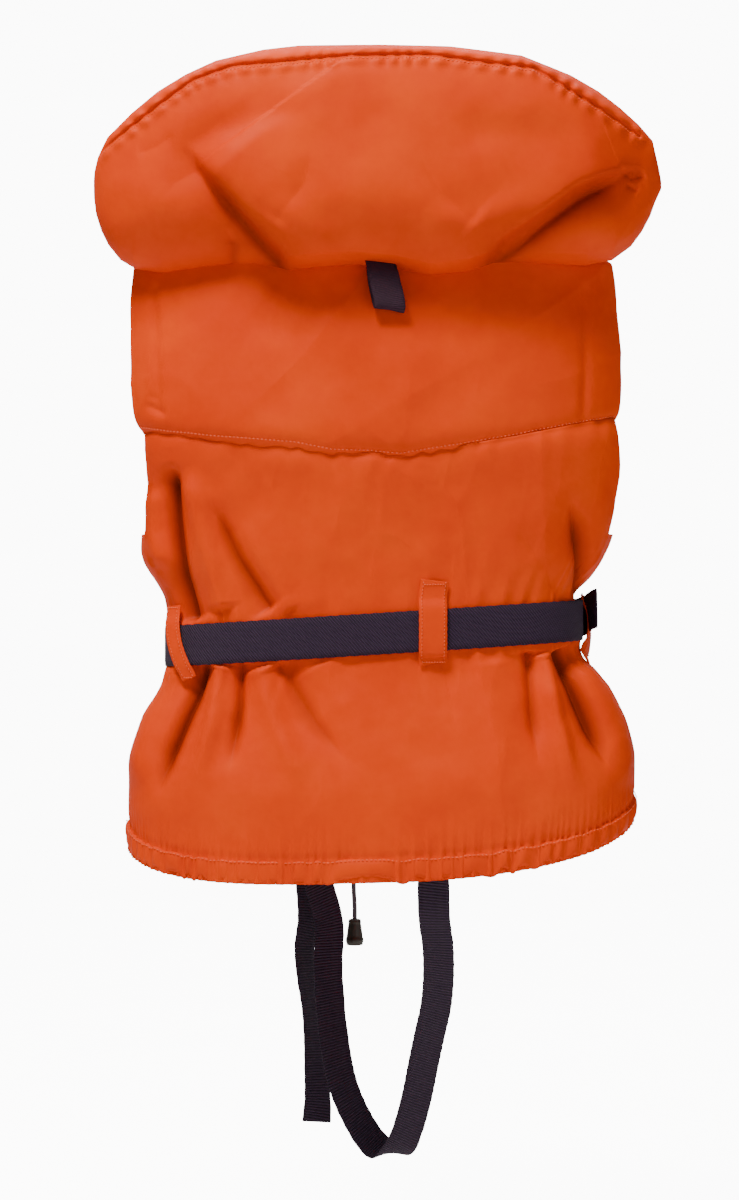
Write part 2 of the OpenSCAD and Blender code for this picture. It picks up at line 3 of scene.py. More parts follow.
import bmesh
import bpy
import numpy as np
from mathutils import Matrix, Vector


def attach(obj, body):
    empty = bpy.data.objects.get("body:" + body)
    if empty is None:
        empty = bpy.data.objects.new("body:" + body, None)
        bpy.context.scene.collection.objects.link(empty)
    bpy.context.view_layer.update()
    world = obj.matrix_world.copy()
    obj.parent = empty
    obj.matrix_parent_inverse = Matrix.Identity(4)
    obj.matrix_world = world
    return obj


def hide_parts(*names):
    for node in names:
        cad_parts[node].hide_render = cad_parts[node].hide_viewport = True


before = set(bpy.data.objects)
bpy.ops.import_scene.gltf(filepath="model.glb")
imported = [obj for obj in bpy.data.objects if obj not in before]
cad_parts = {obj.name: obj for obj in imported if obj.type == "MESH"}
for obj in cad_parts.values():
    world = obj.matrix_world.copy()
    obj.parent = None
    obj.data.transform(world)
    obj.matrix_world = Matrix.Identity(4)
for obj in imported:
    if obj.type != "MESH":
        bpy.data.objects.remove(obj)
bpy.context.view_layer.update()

# ---------------------------------------------------------------- studio
# A pale seamless floor that curves up into a backdrop, an even sky and three soft boxes.
# The jacket is held by its neck opening, with its straps hanging clear of the floor.
MM = 0.001
EYE = (0.008, 2.5, -0.328)
VIEW_HEIGHT = 1.164
VIEW_DISTANCE = 2.38
SENSOR = 24.0

scene = bpy.context.scene
lens_data = bpy.data.cameras.new("camera")
lens_data.sensor_fit = "VERTICAL"
lens_data.sensor_height = SENSOR
lens_data.lens = SENSOR * VIEW_DISTANCE / VIEW_HEIGHT
camera = bpy.data.objects.new("camera", lens_data)
camera.location = EYE
camera.rotation_euler = (math.radians(90), 0, math.radians(180))
scene.collection.objects.link(camera)
scene.camera = camera


def linear(colour):
    """The linear RGBA of an sRGB hex colour."""
    parts = [int(colour[i:i + 2], 16) / 255 for i in (1, 3, 5)]
    return [p / 12.92 if p <= 0.04045 else ((p + 0.055) / 1.055) ** 2.4 for p in parts] + [1.0]


def add(tree, kind, settings=None, inputs=None):
    """Adds a node with its settings, and its inputs as values or as (node, output) links."""
    made = tree.nodes.new("ShaderNode" + kind)
    for key, value in (settings or {}).items():
        setattr(made, key, value)
    for key, value in (inputs or {}).items():
        if isinstance(value, tuple) and isinstance(value[0], bpy.types.Node):
            tree.links.new(value[0].outputs[value[1]], made.inputs[key])
        else:
            made.inputs[key].default_value = value
    return made


def new_material(name):
    made = bpy.data.materials.new(name)
    made.use_nodes = True
    made.node_tree.nodes.clear()
    return made, made.node_tree


def close(tree, shader):
    add(tree, "OutputMaterial", None, {"Surface": (shader, 0)})


def mesh_object(name, verts_mm, faces, materials, uv=None, smooth=True):
    """A mesh object from points in millimetres, with a UV in metres for each point."""
    data = bpy.data.meshes.new(name)
    data.from_pydata((np.asarray(verts_mm, float) * MM).tolist(), [], [list(f) for f in faces])
    if uv is not None:
        layer = data.uv_layers.new(name="cloth")
        corners = np.empty(len(data.loops), dtype=np.int32)
        data.loops.foreach_get("vertex_index", corners)
        layer.data.foreach_set("uv", (np.asarray(uv, float)[corners] * MM).ravel())
    data.update()
    if smooth:
        data.polygons.foreach_set("use_smooth", [True] * len(data.polygons))
    for material in materials:
        data.materials.append(material)
    made = bpy.data.objects.new(name, data)
    scene.collection.objects.link(made)
    return made


FLOOR_Z = -1050
BACKDROP_Y = -4600
paper, tree = new_material("seamless_paper")
grain = add(tree, "TexNoise", None, {"Scale": 40.0, "Detail": 3.0})
tone = add(tree, "ValToRGB", None, {"Fac": (grain, "Fac")})
tone.color_ramp.elements[0].color = linear("#F6F6F6")
tone.color_ramp.elements[1].color = linear("#FCFCFC")
seen = add(tree, "Math", {"operation": "MULTIPLY"}, {0: (add(tree, "LightPath"), "Is Camera Ray"), 1: 11.0})
close(tree, add(tree, "BsdfPrincipled", None, {
    "Base Color": (tone, "Color"), "Roughness": 0.9,
    "Emission Color": (tone, "Color"), "Emission Strength": (seen, 0)}))
bend_r = 900
profile = [(4600, FLOOR_Z)]
for i in range(13):
    angle = math.radians(90 * i / 12)
    profile.append((BACKDROP_Y + bend_r - bend_r * math.sin(angle),
                    FLOOR_Z + bend_r - bend_r * math.cos(angle)))
profile.append((BACKDROP_Y, 2600))
floor_verts = [(x, y, z) for y, z in profile for x in (-6000, 6000)]
floor_faces = [(2 * i, 2 * i + 1, 2 * i + 3, 2 * i + 2) for i in range(len(profile) - 1)]
mesh_object("floor", floor_verts, floor_faces, [paper])

sky = bpy.data.worlds.new("studio")
sky.use_nodes = True
sky.node_tree.nodes["Background"].inputs["Color"].default_value = (1, 1, 1, 1)
glow = add(sky.node_tree, "Math", {"operation": "MULTIPLY_ADD"}, {
    0: (add(sky.node_tree, "LightPath"), "Is Camera Ray"), 1: 11.0, 2: 0.16})
sky.node_tree.links.new(glow.outputs[0], sky.node_tree.nodes["Background"].inputs["Strength"])
scene.world = sky


def soft_box(name, place, size, watts, tint=(1, 1, 1)):
    light = bpy.data.lights.new(name, "AREA")
    light.shape = "RECTANGLE"
    light.size, light.size_y = size
    light.energy = watts
    light.color = tint
    made = bpy.data.objects.new(name, light)
    made.location = place
    aim = np.array([0, 0.05, -0.3]) - np.array(place)
    made.rotation_euler = Vector(aim).to_track_quat("-Z", "Y").to_euler()
    scene.collection.objects.link(made)


soft_box("key_light", (1.0, 1.5, 2.9), (0.9, 0.9), 205, (1.0, 0.93, 0.78))
soft_box("fill_light", (-1.6, 2.6, 0.2), (1.6, 1.6), 14, (1.0, 0.96, 0.9))
soft_box("backdrop_light", (0.0, -1.2, 2.3), (3.0, 1.0), 60)


# ---------------------------------------------------------------- webbing and free straps
# The crotch strap is 30 mm polypropylene webbing, sewn inside the back hem and run through a
# plastic adjuster at the front, with a loose folded tail. Its narrow ribs cross the strap.
CROTCH_W = 30
CROTCH_T = 1.8
CROTCH_ROUTE = [
    (-54, 118, -592, 0), (-55, 110, -636, 0), (-59, 97, -667, 2), (-60, 82, -698, 4),
    (-58, 66, -730, 8), (-52, 50, -762, 14), (-46, 34, -795, 16), (-40, 20, -829, 18),
    (-32, 8, -862, 18), (-23, -4, -886, 12), (-10, -22, -896, -8), (6, -42, -888, -26),
    (22, -58, -866, -36), (35, -70, -838, -28), (43, -82, -805, -14), (49, -98, -762, -4),
    (52, -112, -717, 2), (51, -121, -676, 4), (60, -127, -640, 10), (70, -131, -612, 4),
    (75, -132.6, -596, 0),
]
TAIL_ROUTE = [
    (75, -139, -604, 0), (73, -141, -636, 0), (73, -142, -669, -2), (78, -143, -701, 0),
    (76, -143, -734, 2), (71, -143, -766, 2), (68, -143, -798, 2), (66, -143, -831, 0),
    (64, -143, -864, 0), (65, -142, -890, 0),
]


def curve_points(route, per):
    """Points on the smooth curve through a route, per of them to a stretch."""
    p = np.asarray(route, float)
    out = []
    for i in range(len(p) - 1):
        a, b, c, d = p[max(i - 1, 0)], p[i], p[i + 1], p[min(i + 2, len(p) - 1)]
        for j in range(per):
            t = j / per
            out.append(0.5 * (2 * b + (c - a) * t + (2 * a - 5 * b + 4 * c - d) * t * t
                              + (3 * b - a - 3 * c + d) * t ** 3))
    out.append(p[-1])
    return np.array(out)


def unit(v):
    return v / np.maximum(np.linalg.norm(v, axis=-1, keepdims=True), 1e-9)


def lengths(points):
    return np.concatenate([[0], np.cumsum(np.linalg.norm(np.diff(points, axis=0), axis=1))])


def strap_mesh(name, points, across, half_w, half_t, materials, edge_wave=0.25):
    """A flat strap with rounded edges: ribs of a closed section along its centre line."""
    tangents = unit(np.gradient(points, axis=0))
    across = unit(across - np.sum(across * tangents, axis=1, keepdims=True) * tangents)
    normal = np.cross(tangents, across)
    run = lengths(points)
    section = []
    for i in range(9):
        section.append((-1 + 2 * i / 8, 1))
    section.append((1.0, 0))
    for i in range(9):
        section.append((1 - 2 * i / 8, -1))
    section.append((-1.0, 0))
    section = np.array(section, float)
    edge = np.abs(section[:, 0]) > 0.99
    k = len(section)
    verts, uv = [], []
    for p, w, h, s in zip(points, across, normal, run):
        wave = 1 + edge_wave / half_w * math.sin(s * 2 * math.pi / 3.2)
        wide = section[:, 0] * half_w * wave + np.where(edge & (section[:, 1] == 0), 0.35 * section[:, 0], 0)
        thick = section[:, 1] * half_t * np.where(edge, 0.6, 1.0)
        verts.append(p + wide[:, None] * w + thick[:, None] * h)
        uv.append(np.stack([np.full(k, s), wide], axis=1))
    verts, uv = np.concatenate(verts), np.concatenate(uv)
    n = len(points)
    faces = [(i * k + j, i * k + (j + 1) % k, (i + 1) * k + (j + 1) % k, (i + 1) * k + j)
             for i in range(n - 1) for j in range(k)]
    faces.append(tuple(range(k - 1, -1, -1)))
    faces.append(tuple((n - 1) * k + j for j in range(k)))
    return mesh_object(name, verts, faces, materials, uv)


def webbing_material(name, light, dark, rib_mm, slant, groove):
    """Woven polypropylene: raised ribs rib_mm apart that cross the strap, with painted shade in the gaps and
    a painted highlight on the ribs.
    """
    made, tree = new_material(name)
    uv = add(tree, "UVMap", {"uv_map": "cloth"})
    parts = add(tree, "SeparateXYZ", None, {"Vector": (uv, "UV")})
    turned = add(tree, "Math", {"operation": "MULTIPLY"}, {0: (parts, "Y"), 1: slant})
    run = add(tree, "Math", {"operation": "ADD"}, {0: (parts, "X"), 1: (turned, 0)})
    phase = add(tree, "Math", {"operation": "MULTIPLY"}, {0: (run, 0), 1: 2 * math.pi / (rib_mm * MM)})
    rib = add(tree, "Math", {"operation": "SINE"}, {0: (phase, 0)})
    across = add(tree, "Math", {"operation": "MULTIPLY"}, {
        0: (parts, "Y"), 1: 2 * math.pi / (2.4 * rib_mm * MM)})
    warp = add(tree, "Math", {"operation": "SINE"}, {0: (across, 0)})
    warp_share = add(tree, "Math", {"operation": "MULTIPLY"}, {0: (warp, 0), 1: 0.06})
    height = add(tree, "Math", {"operation": "ADD"}, {0: (rib, 0), 1: (warp_share, 0)})
    fuzz = add(tree, "TexNoise", None, {"Scale": 260.0, "Detail": 4.0, "Roughness": 0.7})
    mixed = add(tree, "Math", {"operation": "MULTIPLY_ADD"}, {0: (fuzz, "Fac"), 1: 1.6, 2: (height, 0)})
    # Painted shade and highlight: the colour follows the rib height, dark in the gaps and light on the ribs,
    # with random fuzz.
    tone = add(tree, "ValToRGB", None, {"Fac": (add(tree, "MapRange", None, {
        "Value": (mixed, 0), "From Min": -0.6, "From Max": 2.2}), "Result")})
    tone.color_ramp.elements[0].color = linear(dark)
    tone.color_ramp.elements[1].color = linear(light)
    bump = add(tree, "Bump", None, {"Height": (mixed, 0), "Strength": groove, "Distance": 0.0005})
    shader = add(tree, "BsdfPrincipled", None, {
        "Base Color": (tone, "Color"), "Normal": (bump, "Normal"), "Roughness": 0.66,
        "Specular IOR Level": 0.25})
    close(tree, shader)
    return made


# The real ribs are about 1.2 mm apart; 3 mm shows at this distance
crotch_webbing = webbing_material("woven_polypropylene_ribbed", "#3A2644", "#0C0612", 3.0, 0.12, 1.0)


def hanging_strap(name, route, node, body, turn=0.0):
    points = curve_points(route, 8)
    centre = points[:, :3]
    tilt = np.radians(points[:, 3])
    twist = math.radians(turn) * np.sin(np.linspace(0, math.pi, len(tilt))) ** 0.7
    across = np.stack([np.cos(tilt) * np.cos(twist), np.sin(twist), np.sin(tilt) * np.cos(twist)], axis=1)
    strap = strap_mesh(name, centre, across, CROTCH_W / 2, CROTCH_T / 2, [crotch_webbing])
    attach(strap, body)
    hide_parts(node)
    return strap


hanging_strap("crotch_strap_webbing", CROTCH_ROUTE, "crotch_strap", "crotch_strap")
hanging_strap("crotch_tail_webbing", TAIL_ROUTE, "crotch_tail", "crotch_tail",
              52)


# ---------------------------------------------------------------- drawcord
# The hem drawcord is a 5 mm braided polyester cord. It leaves an eyelet at the front and ends
# in a knot inside a moulded bell.
DRAWCORD_D = 5
DRAWCORD_ROUTE = [
    (25, -140, -549), (25, -143, -550), (25, -146, -554), (25, -149, -562), (25, -150, -576),
    (25, -150, -600), (25, -150, -620), (25, -150, -640), (24, -150, -660), (24, -150, -674),
]
LANYARD_D = 2
LANYARD_ROUTE = [
    (217, -30, -397), (219, -34, -408), (227, -47, -428), (235, -64, -452), (241, -82, -475),
    (241, -101, -492),
]


def braid_material(name, light, dark, strand_mm):
    """Braided yarn: two sets of strands that cross at a slant round the cord."""
    made, tree = new_material(name)
    uv = add(tree, "UVMap", {"uv_map": "cloth"})
    parts = add(tree, "SeparateXYZ", None, {"Vector": (uv, "UV")})
    sines = []
    for sign in (1, -1):
        slant = add(tree, "Math", {"operation": "MULTIPLY_ADD"}, {
            0: (parts, "Y"), 1: 1.1 * sign, 2: (parts, "X")})
        phase = add(tree, "Math", {"operation": "MULTIPLY"}, {
            0: (slant, 0), 1: 2 * math.pi / (strand_mm * MM)})
        sines.append(add(tree, "Math", {"operation": "SINE"}, {0: (phase, 0)}))
    height = add(tree, "Math", {"operation": "MAXIMUM"}, {0: (sines[0], 0), 1: (sines[1], 0)})
    tone = add(tree, "ValToRGB", None, {"Fac": (add(tree, "MapRange", None, {
        "Value": (height, 0), "From Min": -0.6, "From Max": 1.0}), "Result")})
    tone.color_ramp.elements[0].color = linear(dark)
    tone.color_ramp.elements[1].color = linear(light)
    bump = add(tree, "Bump", None, {"Height": (height, 0), "Strength": 0.7, "Distance": 0.0006})
    close(tree, add(tree, "BsdfPrincipled", None, {
        "Base Color": (tone, "Color"), "Normal": (bump, "Normal"), "Roughness": 0.6, "Sheen Weight": 0.2}))
    return made


def round_cord(name, points, radius, materials, sides=12):
    tangents = unit(np.gradient(points, axis=0))
    side = unit(np.cross(tangents, [0.31, 0.9, 0.2]))
    up = np.cross(tangents, side)
    run = lengths(points)
    angles = 2 * math.pi * np.arange(sides) / sides
    verts = np.concatenate([p + radius * (np.cos(angles)[:, None] * w + np.sin(angles)[:, None] * h)
                            for p, w, h in zip(points, side, up)])
    uv = np.concatenate([np.stack([np.full(sides, s), radius * angles], axis=1) for s in run])
    n = len(points)
    faces = [(i * sides + j, (i + 1) * sides + j,
              (i + 1) * sides + (j + 1) % sides, i * sides + (j + 1) % sides)
             for i in range(n - 1) for j in range(sides)]
    faces.append(tuple(range(sides)))
    faces.append(tuple((n - 1) * sides + j for j in range(sides - 1, -1, -1)))
    return mesh_object(name, verts, faces, materials, uv)


braid = braid_material("braided_polyester", "#5A5262", "#221C2A", 2.2)
points = curve_points(DRAWCORD_ROUTE, 6)
cord = round_cord("drawcord_braid", points, DRAWCORD_D / 2, [braid], 16)
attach(cord, "drawcord")
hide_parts("drawcord")

twine = braid_material("twisted_yellow_twine", "#F2DC5A", "#B8962A", 1.2)
points = curve_points(LANYARD_ROUTE, 8)
lanyard = round_cord("whistle_lanyard_twine", points, LANYARD_D / 2, [twine], 10)
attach(lanyard, "whistle")
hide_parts("whistle_lanyard")


# ---------------------------------------------------------------- cloth of the waistcoat
# Orange polyurethane-coated nylon, plain woven, with a satin face that puckers along its seams.
# Its thread, 0.3 mm apart, is drawn 1.5 mm apart so that it shows. Deep folds get painted shade: the colour
# is darkened there by the fold attribute.
def coated_nylon(name, mid, shade, bright, wrinkle=0.35):
    made, tree = new_material(name)
    place = add(tree, "TexCoord")
    cloud = add(tree, "TexNoise", None, {
        "Vector": (place, "Object"), "Scale": 9.0, "Detail": 5.0, "Roughness": 0.6})
    tone = add(tree, "ValToRGB", None, {"Fac": (cloud, "Fac")})
    tone.color_ramp.elements[0].position = 0.3
    tone.color_ramp.elements[0].color = linear(shade)
    tone.color_ramp.elements[1].position = 0.7
    tone.color_ramp.elements[1].color = linear(bright)
    middle = tone.color_ramp.elements.new(0.5)
    middle.color = linear(mid)
    parts = add(tree, "SeparateXYZ", None, {"Vector": (place, "Object")})
    sums = add(tree, "Math", {"operation": "ADD"}, {0: (parts, "X"), 1: (parts, "Y")})
    weft = add(tree, "Math", {"operation": "SINE"}, {0: (add(tree, "Math", {"operation": "MULTIPLY"}, {
        0: (parts, "Z"), 1: 2 * math.pi / 0.0015}), 0)})
    warp = add(tree, "Math", {"operation": "SINE"}, {0: (add(tree, "Math", {"operation": "MULTIPLY"}, {
        0: (sums, 0), 1: 2 * math.pi / 0.0015}), 0)})
    weave = add(tree, "Math", {"operation": "MULTIPLY"}, {0: (weft, 0), 1: (warp, 0)})
    crease = add(tree, "TexNoise", {"noise_type": "RIDGED_MULTIFRACTAL"}, {
        "Vector": (place, "Object"), "Scale": 16.0, "Detail": 3.0, "Roughness": 0.45})
    fine = add(tree, "Bump", None, {"Height": (weave, 0), "Strength": 0.12, "Distance": 0.0003})
    folds = add(tree, "Bump", None, {
        "Height": (crease, "Fac"), "Strength": wrinkle, "Distance": 0.0016, "Normal": (fine, "Normal")})
    patches = add(tree, "TexNoise", None, {"Vector": (place, "Object"), "Scale": 34.0, "Detail": 4.0})
    rough = add(tree, "MapRange", None, {"Value": (patches, "Fac"), "To Min": 0.42, "To Max": 0.58})
    # Painted shade: the fold attribute darkens the colour in deep folds, down to 0.3 of it.
    fold = add(tree, "Attribute", {"attribute_name": "fold"})
    painted_shade_factor = add(tree, "MapRange", None, {"Value": (fold, "Fac"), "To Min": 1.0, "To Max": 0.3})
    colour_with_painted_shade = add(tree, "VectorMath", {"operation": "SCALE"}, {0: (tone, "Color"), "Scale": (painted_shade_factor, "Result")})
    close(tree, add(tree, "BsdfPrincipled", None, {
        "Base Color": (colour_with_painted_shade, "Vector"), "Roughness": (rough, "Result"), "Normal": (folds, "Normal"),
        "Specular IOR Level": 0.08}))
    return made


orange_nylon = coated_nylon("coated_orange_nylon", "#DA3D00", "#D03600", "#E24500")
SQUARE = 0.75


def noise(x, z, size, seed):
    """Smooth seeded noise from -1 to 1 with cells size mm across."""
    lattice = np.random.default_rng(seed).uniform(-1, 1, (64, 64))
    u, v = np.asarray(x) / size + 512, np.asarray(z) / size + 512
    i, j = np.floor(u).astype(int), np.floor(v).astype(int)
    a, b = u - i, v - j
    a, b = a * a * (3 - 2 * a), b * b * (3 - 2 * b)
    c00, c10 = lattice[i % 64, j % 64], lattice[(i + 1) % 64, j % 64]
    c01, c11 = lattice[i % 64, (j + 1) % 64], lattice[(i + 1) % 64, (j + 1) % 64]
    return (c00 * (1 - a) + c10 * a) * (1 - b) + (c01 * (1 - a) + c11 * a) * b


def ease(v):
    t = np.clip(v, 0, 1)
    return t * t * (3 - 2 * t)


def from_line(x, z, line):
    """Distance from a line of points, the side it is on, and how far along it from 0 to 1."""
    line = np.asarray(line, float)
    run = lengths(line)
    best = np.full(np.shape(x), 1e9)
    side = np.zeros(np.shape(x))
    along = np.zeros(np.shape(x))
    for (p, q), start, span in zip(zip(line[:-1], line[1:]), run[:-1], np.diff(run)):
        d = q - p
        t = np.clip(((x - p[0]) * d[0] + (z - p[1]) * d[1]) / (span * span), 0, 1)
        off_x, off_z = x - p[0] - t * d[0], z - p[1] - t * d[1]
        dist = np.hypot(off_x, off_z)
        near = dist < best
        best = np.where(near, dist, best)
        side = np.where(near, np.sign(d[0] * off_z - d[1] * off_x), side)
        along = np.where(near, (start + t * span) / run[-1], along)
    return best, side, along


def fade(along, start=0.25, end=0.25):
    """From 0 at the ends of a line to 1 inside it; a share of 0 keeps that end full."""
    first = ease(along / start) if start else 1.0
    last = ease((1 - along) / end) if end else 1.0
    return first * last


def crease(x, z, line, width, depth, start=0.25, end=0.25):
    """A sharp valley (negative depth) or ridge along a line."""
    dist, _, along = from_line(x, z, line)
    return depth * np.exp(-np.sqrt(dist * dist + 1.5) / width) * fade(along, start, end)


def roll(x, z, line, width, depth, start=0.25, end=0.25):
    """A soft rounded fold along a line."""
    dist, _, along = from_line(x, z, line)
    return depth * np.exp(-(dist / width) ** 2) * fade(along, start, end)


def lap(x, z, line, width, depth, reach, start=0.25, end=0.25):
    """A fold that stands up steeply at the line and falls away over reach on its left side."""
    dist, side, along = from_line(x, z, line)
    over = dist * side
    step = 0.5 + 0.5 * np.tanh(over / width)
    return depth * step * np.exp(-np.maximum(over, 0) / reach) * fade(along, start, end)


def crumple(x, z, size, seed, depth, stretch=1.0, turn=0.0):
    """Fine creases of slack cloth, drawn out along a direction turned from the vertical."""
    c, s = math.cos(math.radians(turn)), math.sin(math.radians(turn))
    across, down = x * c + z * s, (z * c - x * s) / stretch
    warp = 0.35 * size * noise(across, down, size * 1.7, seed + 100)
    line = 1 - np.abs(noise(across + warp, down + warp, size, seed))
    return depth * (line ** 4 - 0.25) * (0.55 + 0.45 * noise(across, down, size * 2.3, seed + 200))


# Outline of the worn jacket: half width to the wearer's left and right, and back depth, by height
LEFT_W = [(20, 256), (-30, 262), (-116, 261), (-150, 257), (-180, 247), (-250, 238), (-283, 240), (-300, 233),
          (-316, 221), (-330, 215), (-345, 213), (-385, 213), (-405, 212), (-419, 217), (-434, 228),
          (-464, 243),
          (-495, 252), (-570, 253)]
RIGHT_W = [(20, 246), (-10, 252), (-60, 256), (-120, 259), (-200, 257), (-252, 245), (-283, 234), (-308, 215),
           (-328, 206), (-384, 206), (-404, 228), (-420, 241), (-449, 254), (-480, 262), (-545, 261),
           (-575, 256)]
BACK_D = [(20, 100), (-30, 113), (-85, 121), (-170, 123), (-210, 114), (-262, 108), (-326, 103), (-402, 103),
          (-440, 110), (-510, 124), (-620, 126)]
ZIP_DEPTH = 131
FOAM_RISE = 40
FOAM_SHARE = [(20, 0.5), (-45, 0.8), (-100, 1), (-280, 1), (-326, 0.78), (-402, 0.78), (-440, 0.95),
              (-520, 0.9), (-560, 0.3), (-620, 0.3)]


def by_height(z, table):
    """A value of the outline at height z, rounded off over about 20 mm."""
    heights = np.array([row[0] for row in table][::-1], float)
    values = np.array([row[1] for row in table][::-1], float)
    return sum(np.interp(z + step, heights, values) for step in (-10, -5, 0, 5, 10)) / 5


def signed_pow(v, p):
    return np.sign(v) * np.abs(v) ** p


def from_front(u):
    return np.abs((u + 90 + 180) % 360 - 180)


def torso(u, z, lift=0.0, rise=1.0, bulge=1.0):
    """Points of the waistcoat at angles u (degrees) and heights z, lifted off its surface.
    rise 0 bridges the valley at the zip, and bulge 0 leaves the front foam out."""
    c, s = np.cos(np.radians(u)), np.sin(np.radians(u))
    wide = np.where(c >= 0, by_height(z, LEFT_W), by_height(z, RIGHT_W))
    fall = 1 - ease((from_front(u) - 45) / 43)
    valley = ease((from_front(u) - 1.7) / 7.5) if rise else 1.0
    front = ZIP_DEPTH + bulge * FOAM_RISE * by_height(z, FOAM_SHARE) * fall * valley
    deep = np.where(s >= 0, by_height(z, BACK_D), front)
    x, y = wide * signed_pow(c, SQUARE), deep * signed_pow(s, SQUARE)
    power = 2 / SQUARE - 1
    nx = signed_pow(x / wide, power) / wide
    ny = signed_pow(y / deep, power) / deep
    size = np.hypot(nx, ny)
    return np.stack([x + lift * nx / size, y + lift * ny / size, np.broadcast_to(z, x.shape)], axis=-1)


def even_angles(u0, u1, count, z=-200.0):
    """Angles that are evenly spaced round the body between u0 and u1."""
    fine = np.linspace(u0, u1, 2000)
    run = lengths(torso(fine, np.full(2000, z)))
    return np.interp(np.linspace(0, run[-1], count), run, fine)


def grid_faces(rows, cols):
    r, c = np.meshgrid(np.arange(rows - 1), np.arange(cols - 1), indexing="ij")
    a = (r * cols + c).ravel()
    return np.stack([a, a + cols, a + cols + 1, a + 1], axis=1)


def grid_object(name, points, materials, uv=None):
    rows, cols = points.shape[:2]
    return mesh_object(name, points.reshape(-1, 3), grid_faces(rows, cols), materials,
                       None if uv is None else uv.reshape(-1, 2))


def paint_shade_in_folds(piece, depth):
    """Stores how deep in a fold each point lies (0 to 1), for painted shade: the cloth's colour is darkened
    there to stand in for the shade in the fold.
    """
    layer = piece.data.attributes.new("fold", "FLOAT", "POINT")
    layer.data.foreach_set("value", np.clip(depth, 0, 1).ravel().astype(np.float32))


def thicken(piece, thickness):
    """Gives a single sheet its cloth thickness, towards the wearer."""
    made = piece.modifiers.new("cloth_thickness", "SOLIDIFY")
    made.thickness = thickness * MM
    made.offset = -1
    made.use_rim = True


def seam_height(u):
    """The yoke seam, a little uneven, and lowest at the middle of the back."""
    x = 248 * signed_pow(np.cos(np.radians(u)), SQUARE)
    return np.interp(x, [-248, -190, -130, -80, -20, 10, 45, 80, 160, 205, 248],
                     [-146, -158, -171, -180, -190, -187, -186, -179, -172, -166, -158])


def hem_height(u):
    return -557 - 14 * np.cos(np.radians(u)) - 43 * np.maximum(0, np.sin(np.radians(u)))


# ---------------------------------------------------------------- stitching
# Lockstitch in orange polyester thread: each stitch is a short rounded dash laid on the cloth.
thread, tree = new_material("polyester_thread")
twist = add(tree, "TexWave", {"bands_direction": "DIAGONAL"}, {"Scale": 900.0, "Distortion": 1.0})
tone = add(tree, "ValToRGB", None, {"Fac": (twist, "Fac")})
tone.color_ramp.elements[0].color = linear("#D93A0A")
tone.color_ramp.elements[1].color = linear("#F46A38")
close(tree, add(tree, "BsdfPrincipled", None, {"Base Color": (tone, "Color"), "Roughness": 0.5}))


def stitches(name, path, body, outward, pitch=4.2, length=2.9, radius=0.42):
    """A row of stitches along a path of surface points; outward is the surface's way out."""
    path = np.asarray(path, float)
    outward = np.broadcast_to(np.asarray(outward, float), path.shape)
    run = lengths(path)
    verts, faces = [], []
    for start in np.arange(1.0, run[-1] - length, pitch):
        ends = [np.array([np.interp(start + length * t, run, path[:, k]) for k in range(3)])
                for t in (0, 0.5, 1)]
        out = unit(np.array([np.interp(start, run, outward[:, k]) for k in range(3)]))
        ahead = unit(ends[2] - ends[0])
        side = np.cross(ahead, out)
        base = len(verts)
        for centre, height, size in ((ends[0], -0.3, 0.35), (ends[0] * 0.75 + ends[2] * 0.25, 0.2, 1.0),
                                     (ends[1], 0.32, 1.1), (ends[0] * 0.25 + ends[2] * 0.75, 0.2, 1.0),
                                     (ends[2], -0.3, 0.35)):
            for angle in np.radians([0, 60, 120, 180, 240, 300]):
                verts.append(centre + out * (height + radius * size * math.sin(angle))
                             + side * radius * size * 1.15 * math.cos(angle))
        for ring in range(4):
            for k in range(6):
                a, b = base + ring * 6 + k, base + ring * 6 + (k + 1) % 6
                faces.append((a, b, b + 6, a + 6))
        faces.append(tuple(base + k for k in range(5, -1, -1)))
        faces.append(tuple(base + 24 + k for k in range(6)))
    made = mesh_object(name, verts, faces, [thread])
    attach(made, body)
    return made


# ---------------------------------------------------------------- collar
# The head-support collar is a thick foam cushion in orange nylon. Its back is a slack panel
# that folds over two puffed side lobes, and a stitched gusset closes it along the top.
COLLAR_END = 281
COLLAR_TOP = [(-282, 81), (-278, 98), (-271, 125), (-256, 140), (-237, 155), (-216, 169), (-188, 183),
              (-139, 200), (-70, 207), (0, 208), (76, 208), (110, 205), (157, 196), (187, 184), (215, 169),
              (241, 150), (266, 128), (276, 110), (280, 96), (282, 78)]
COLLAR_LOW = [(-282, 81), (-275, 66), (-270, 52), (-262, 37), (-251, 22), (-232, 8), (-205, 2), (-150, 3),
              (-112, 1), (-88, -8), (-50, -12), (-17, -4), (20, -1), (60, -3), (88, -6), (120, 1), (150, 0),
              (185, -3), (212, -5), (240, 0), (255, 9), (267, 24), (274, 38), (279, 54), (282, 78)]
SEAM_TOP = [(-255, 126), (-187, 162), (-151, 183), (-105, 187), (-48, 194), (23, 193), (95, 188), (139, 186),
            (178, 174), (275, 110)]
LEFT_FOLD = [(186, 112), (172, 90), (150, 62), (118, 28), (98, 8), (86, -8)]
RIGHT_FOLD = [(-262, 98), (-236, 88), (-192, 68), (-148, 36), (-122, 18), (-106, -4)]
COLLAR_SEAM_Y = 100
COLLAR_LEAN = 0.14
COLLAR_WRAP = 42


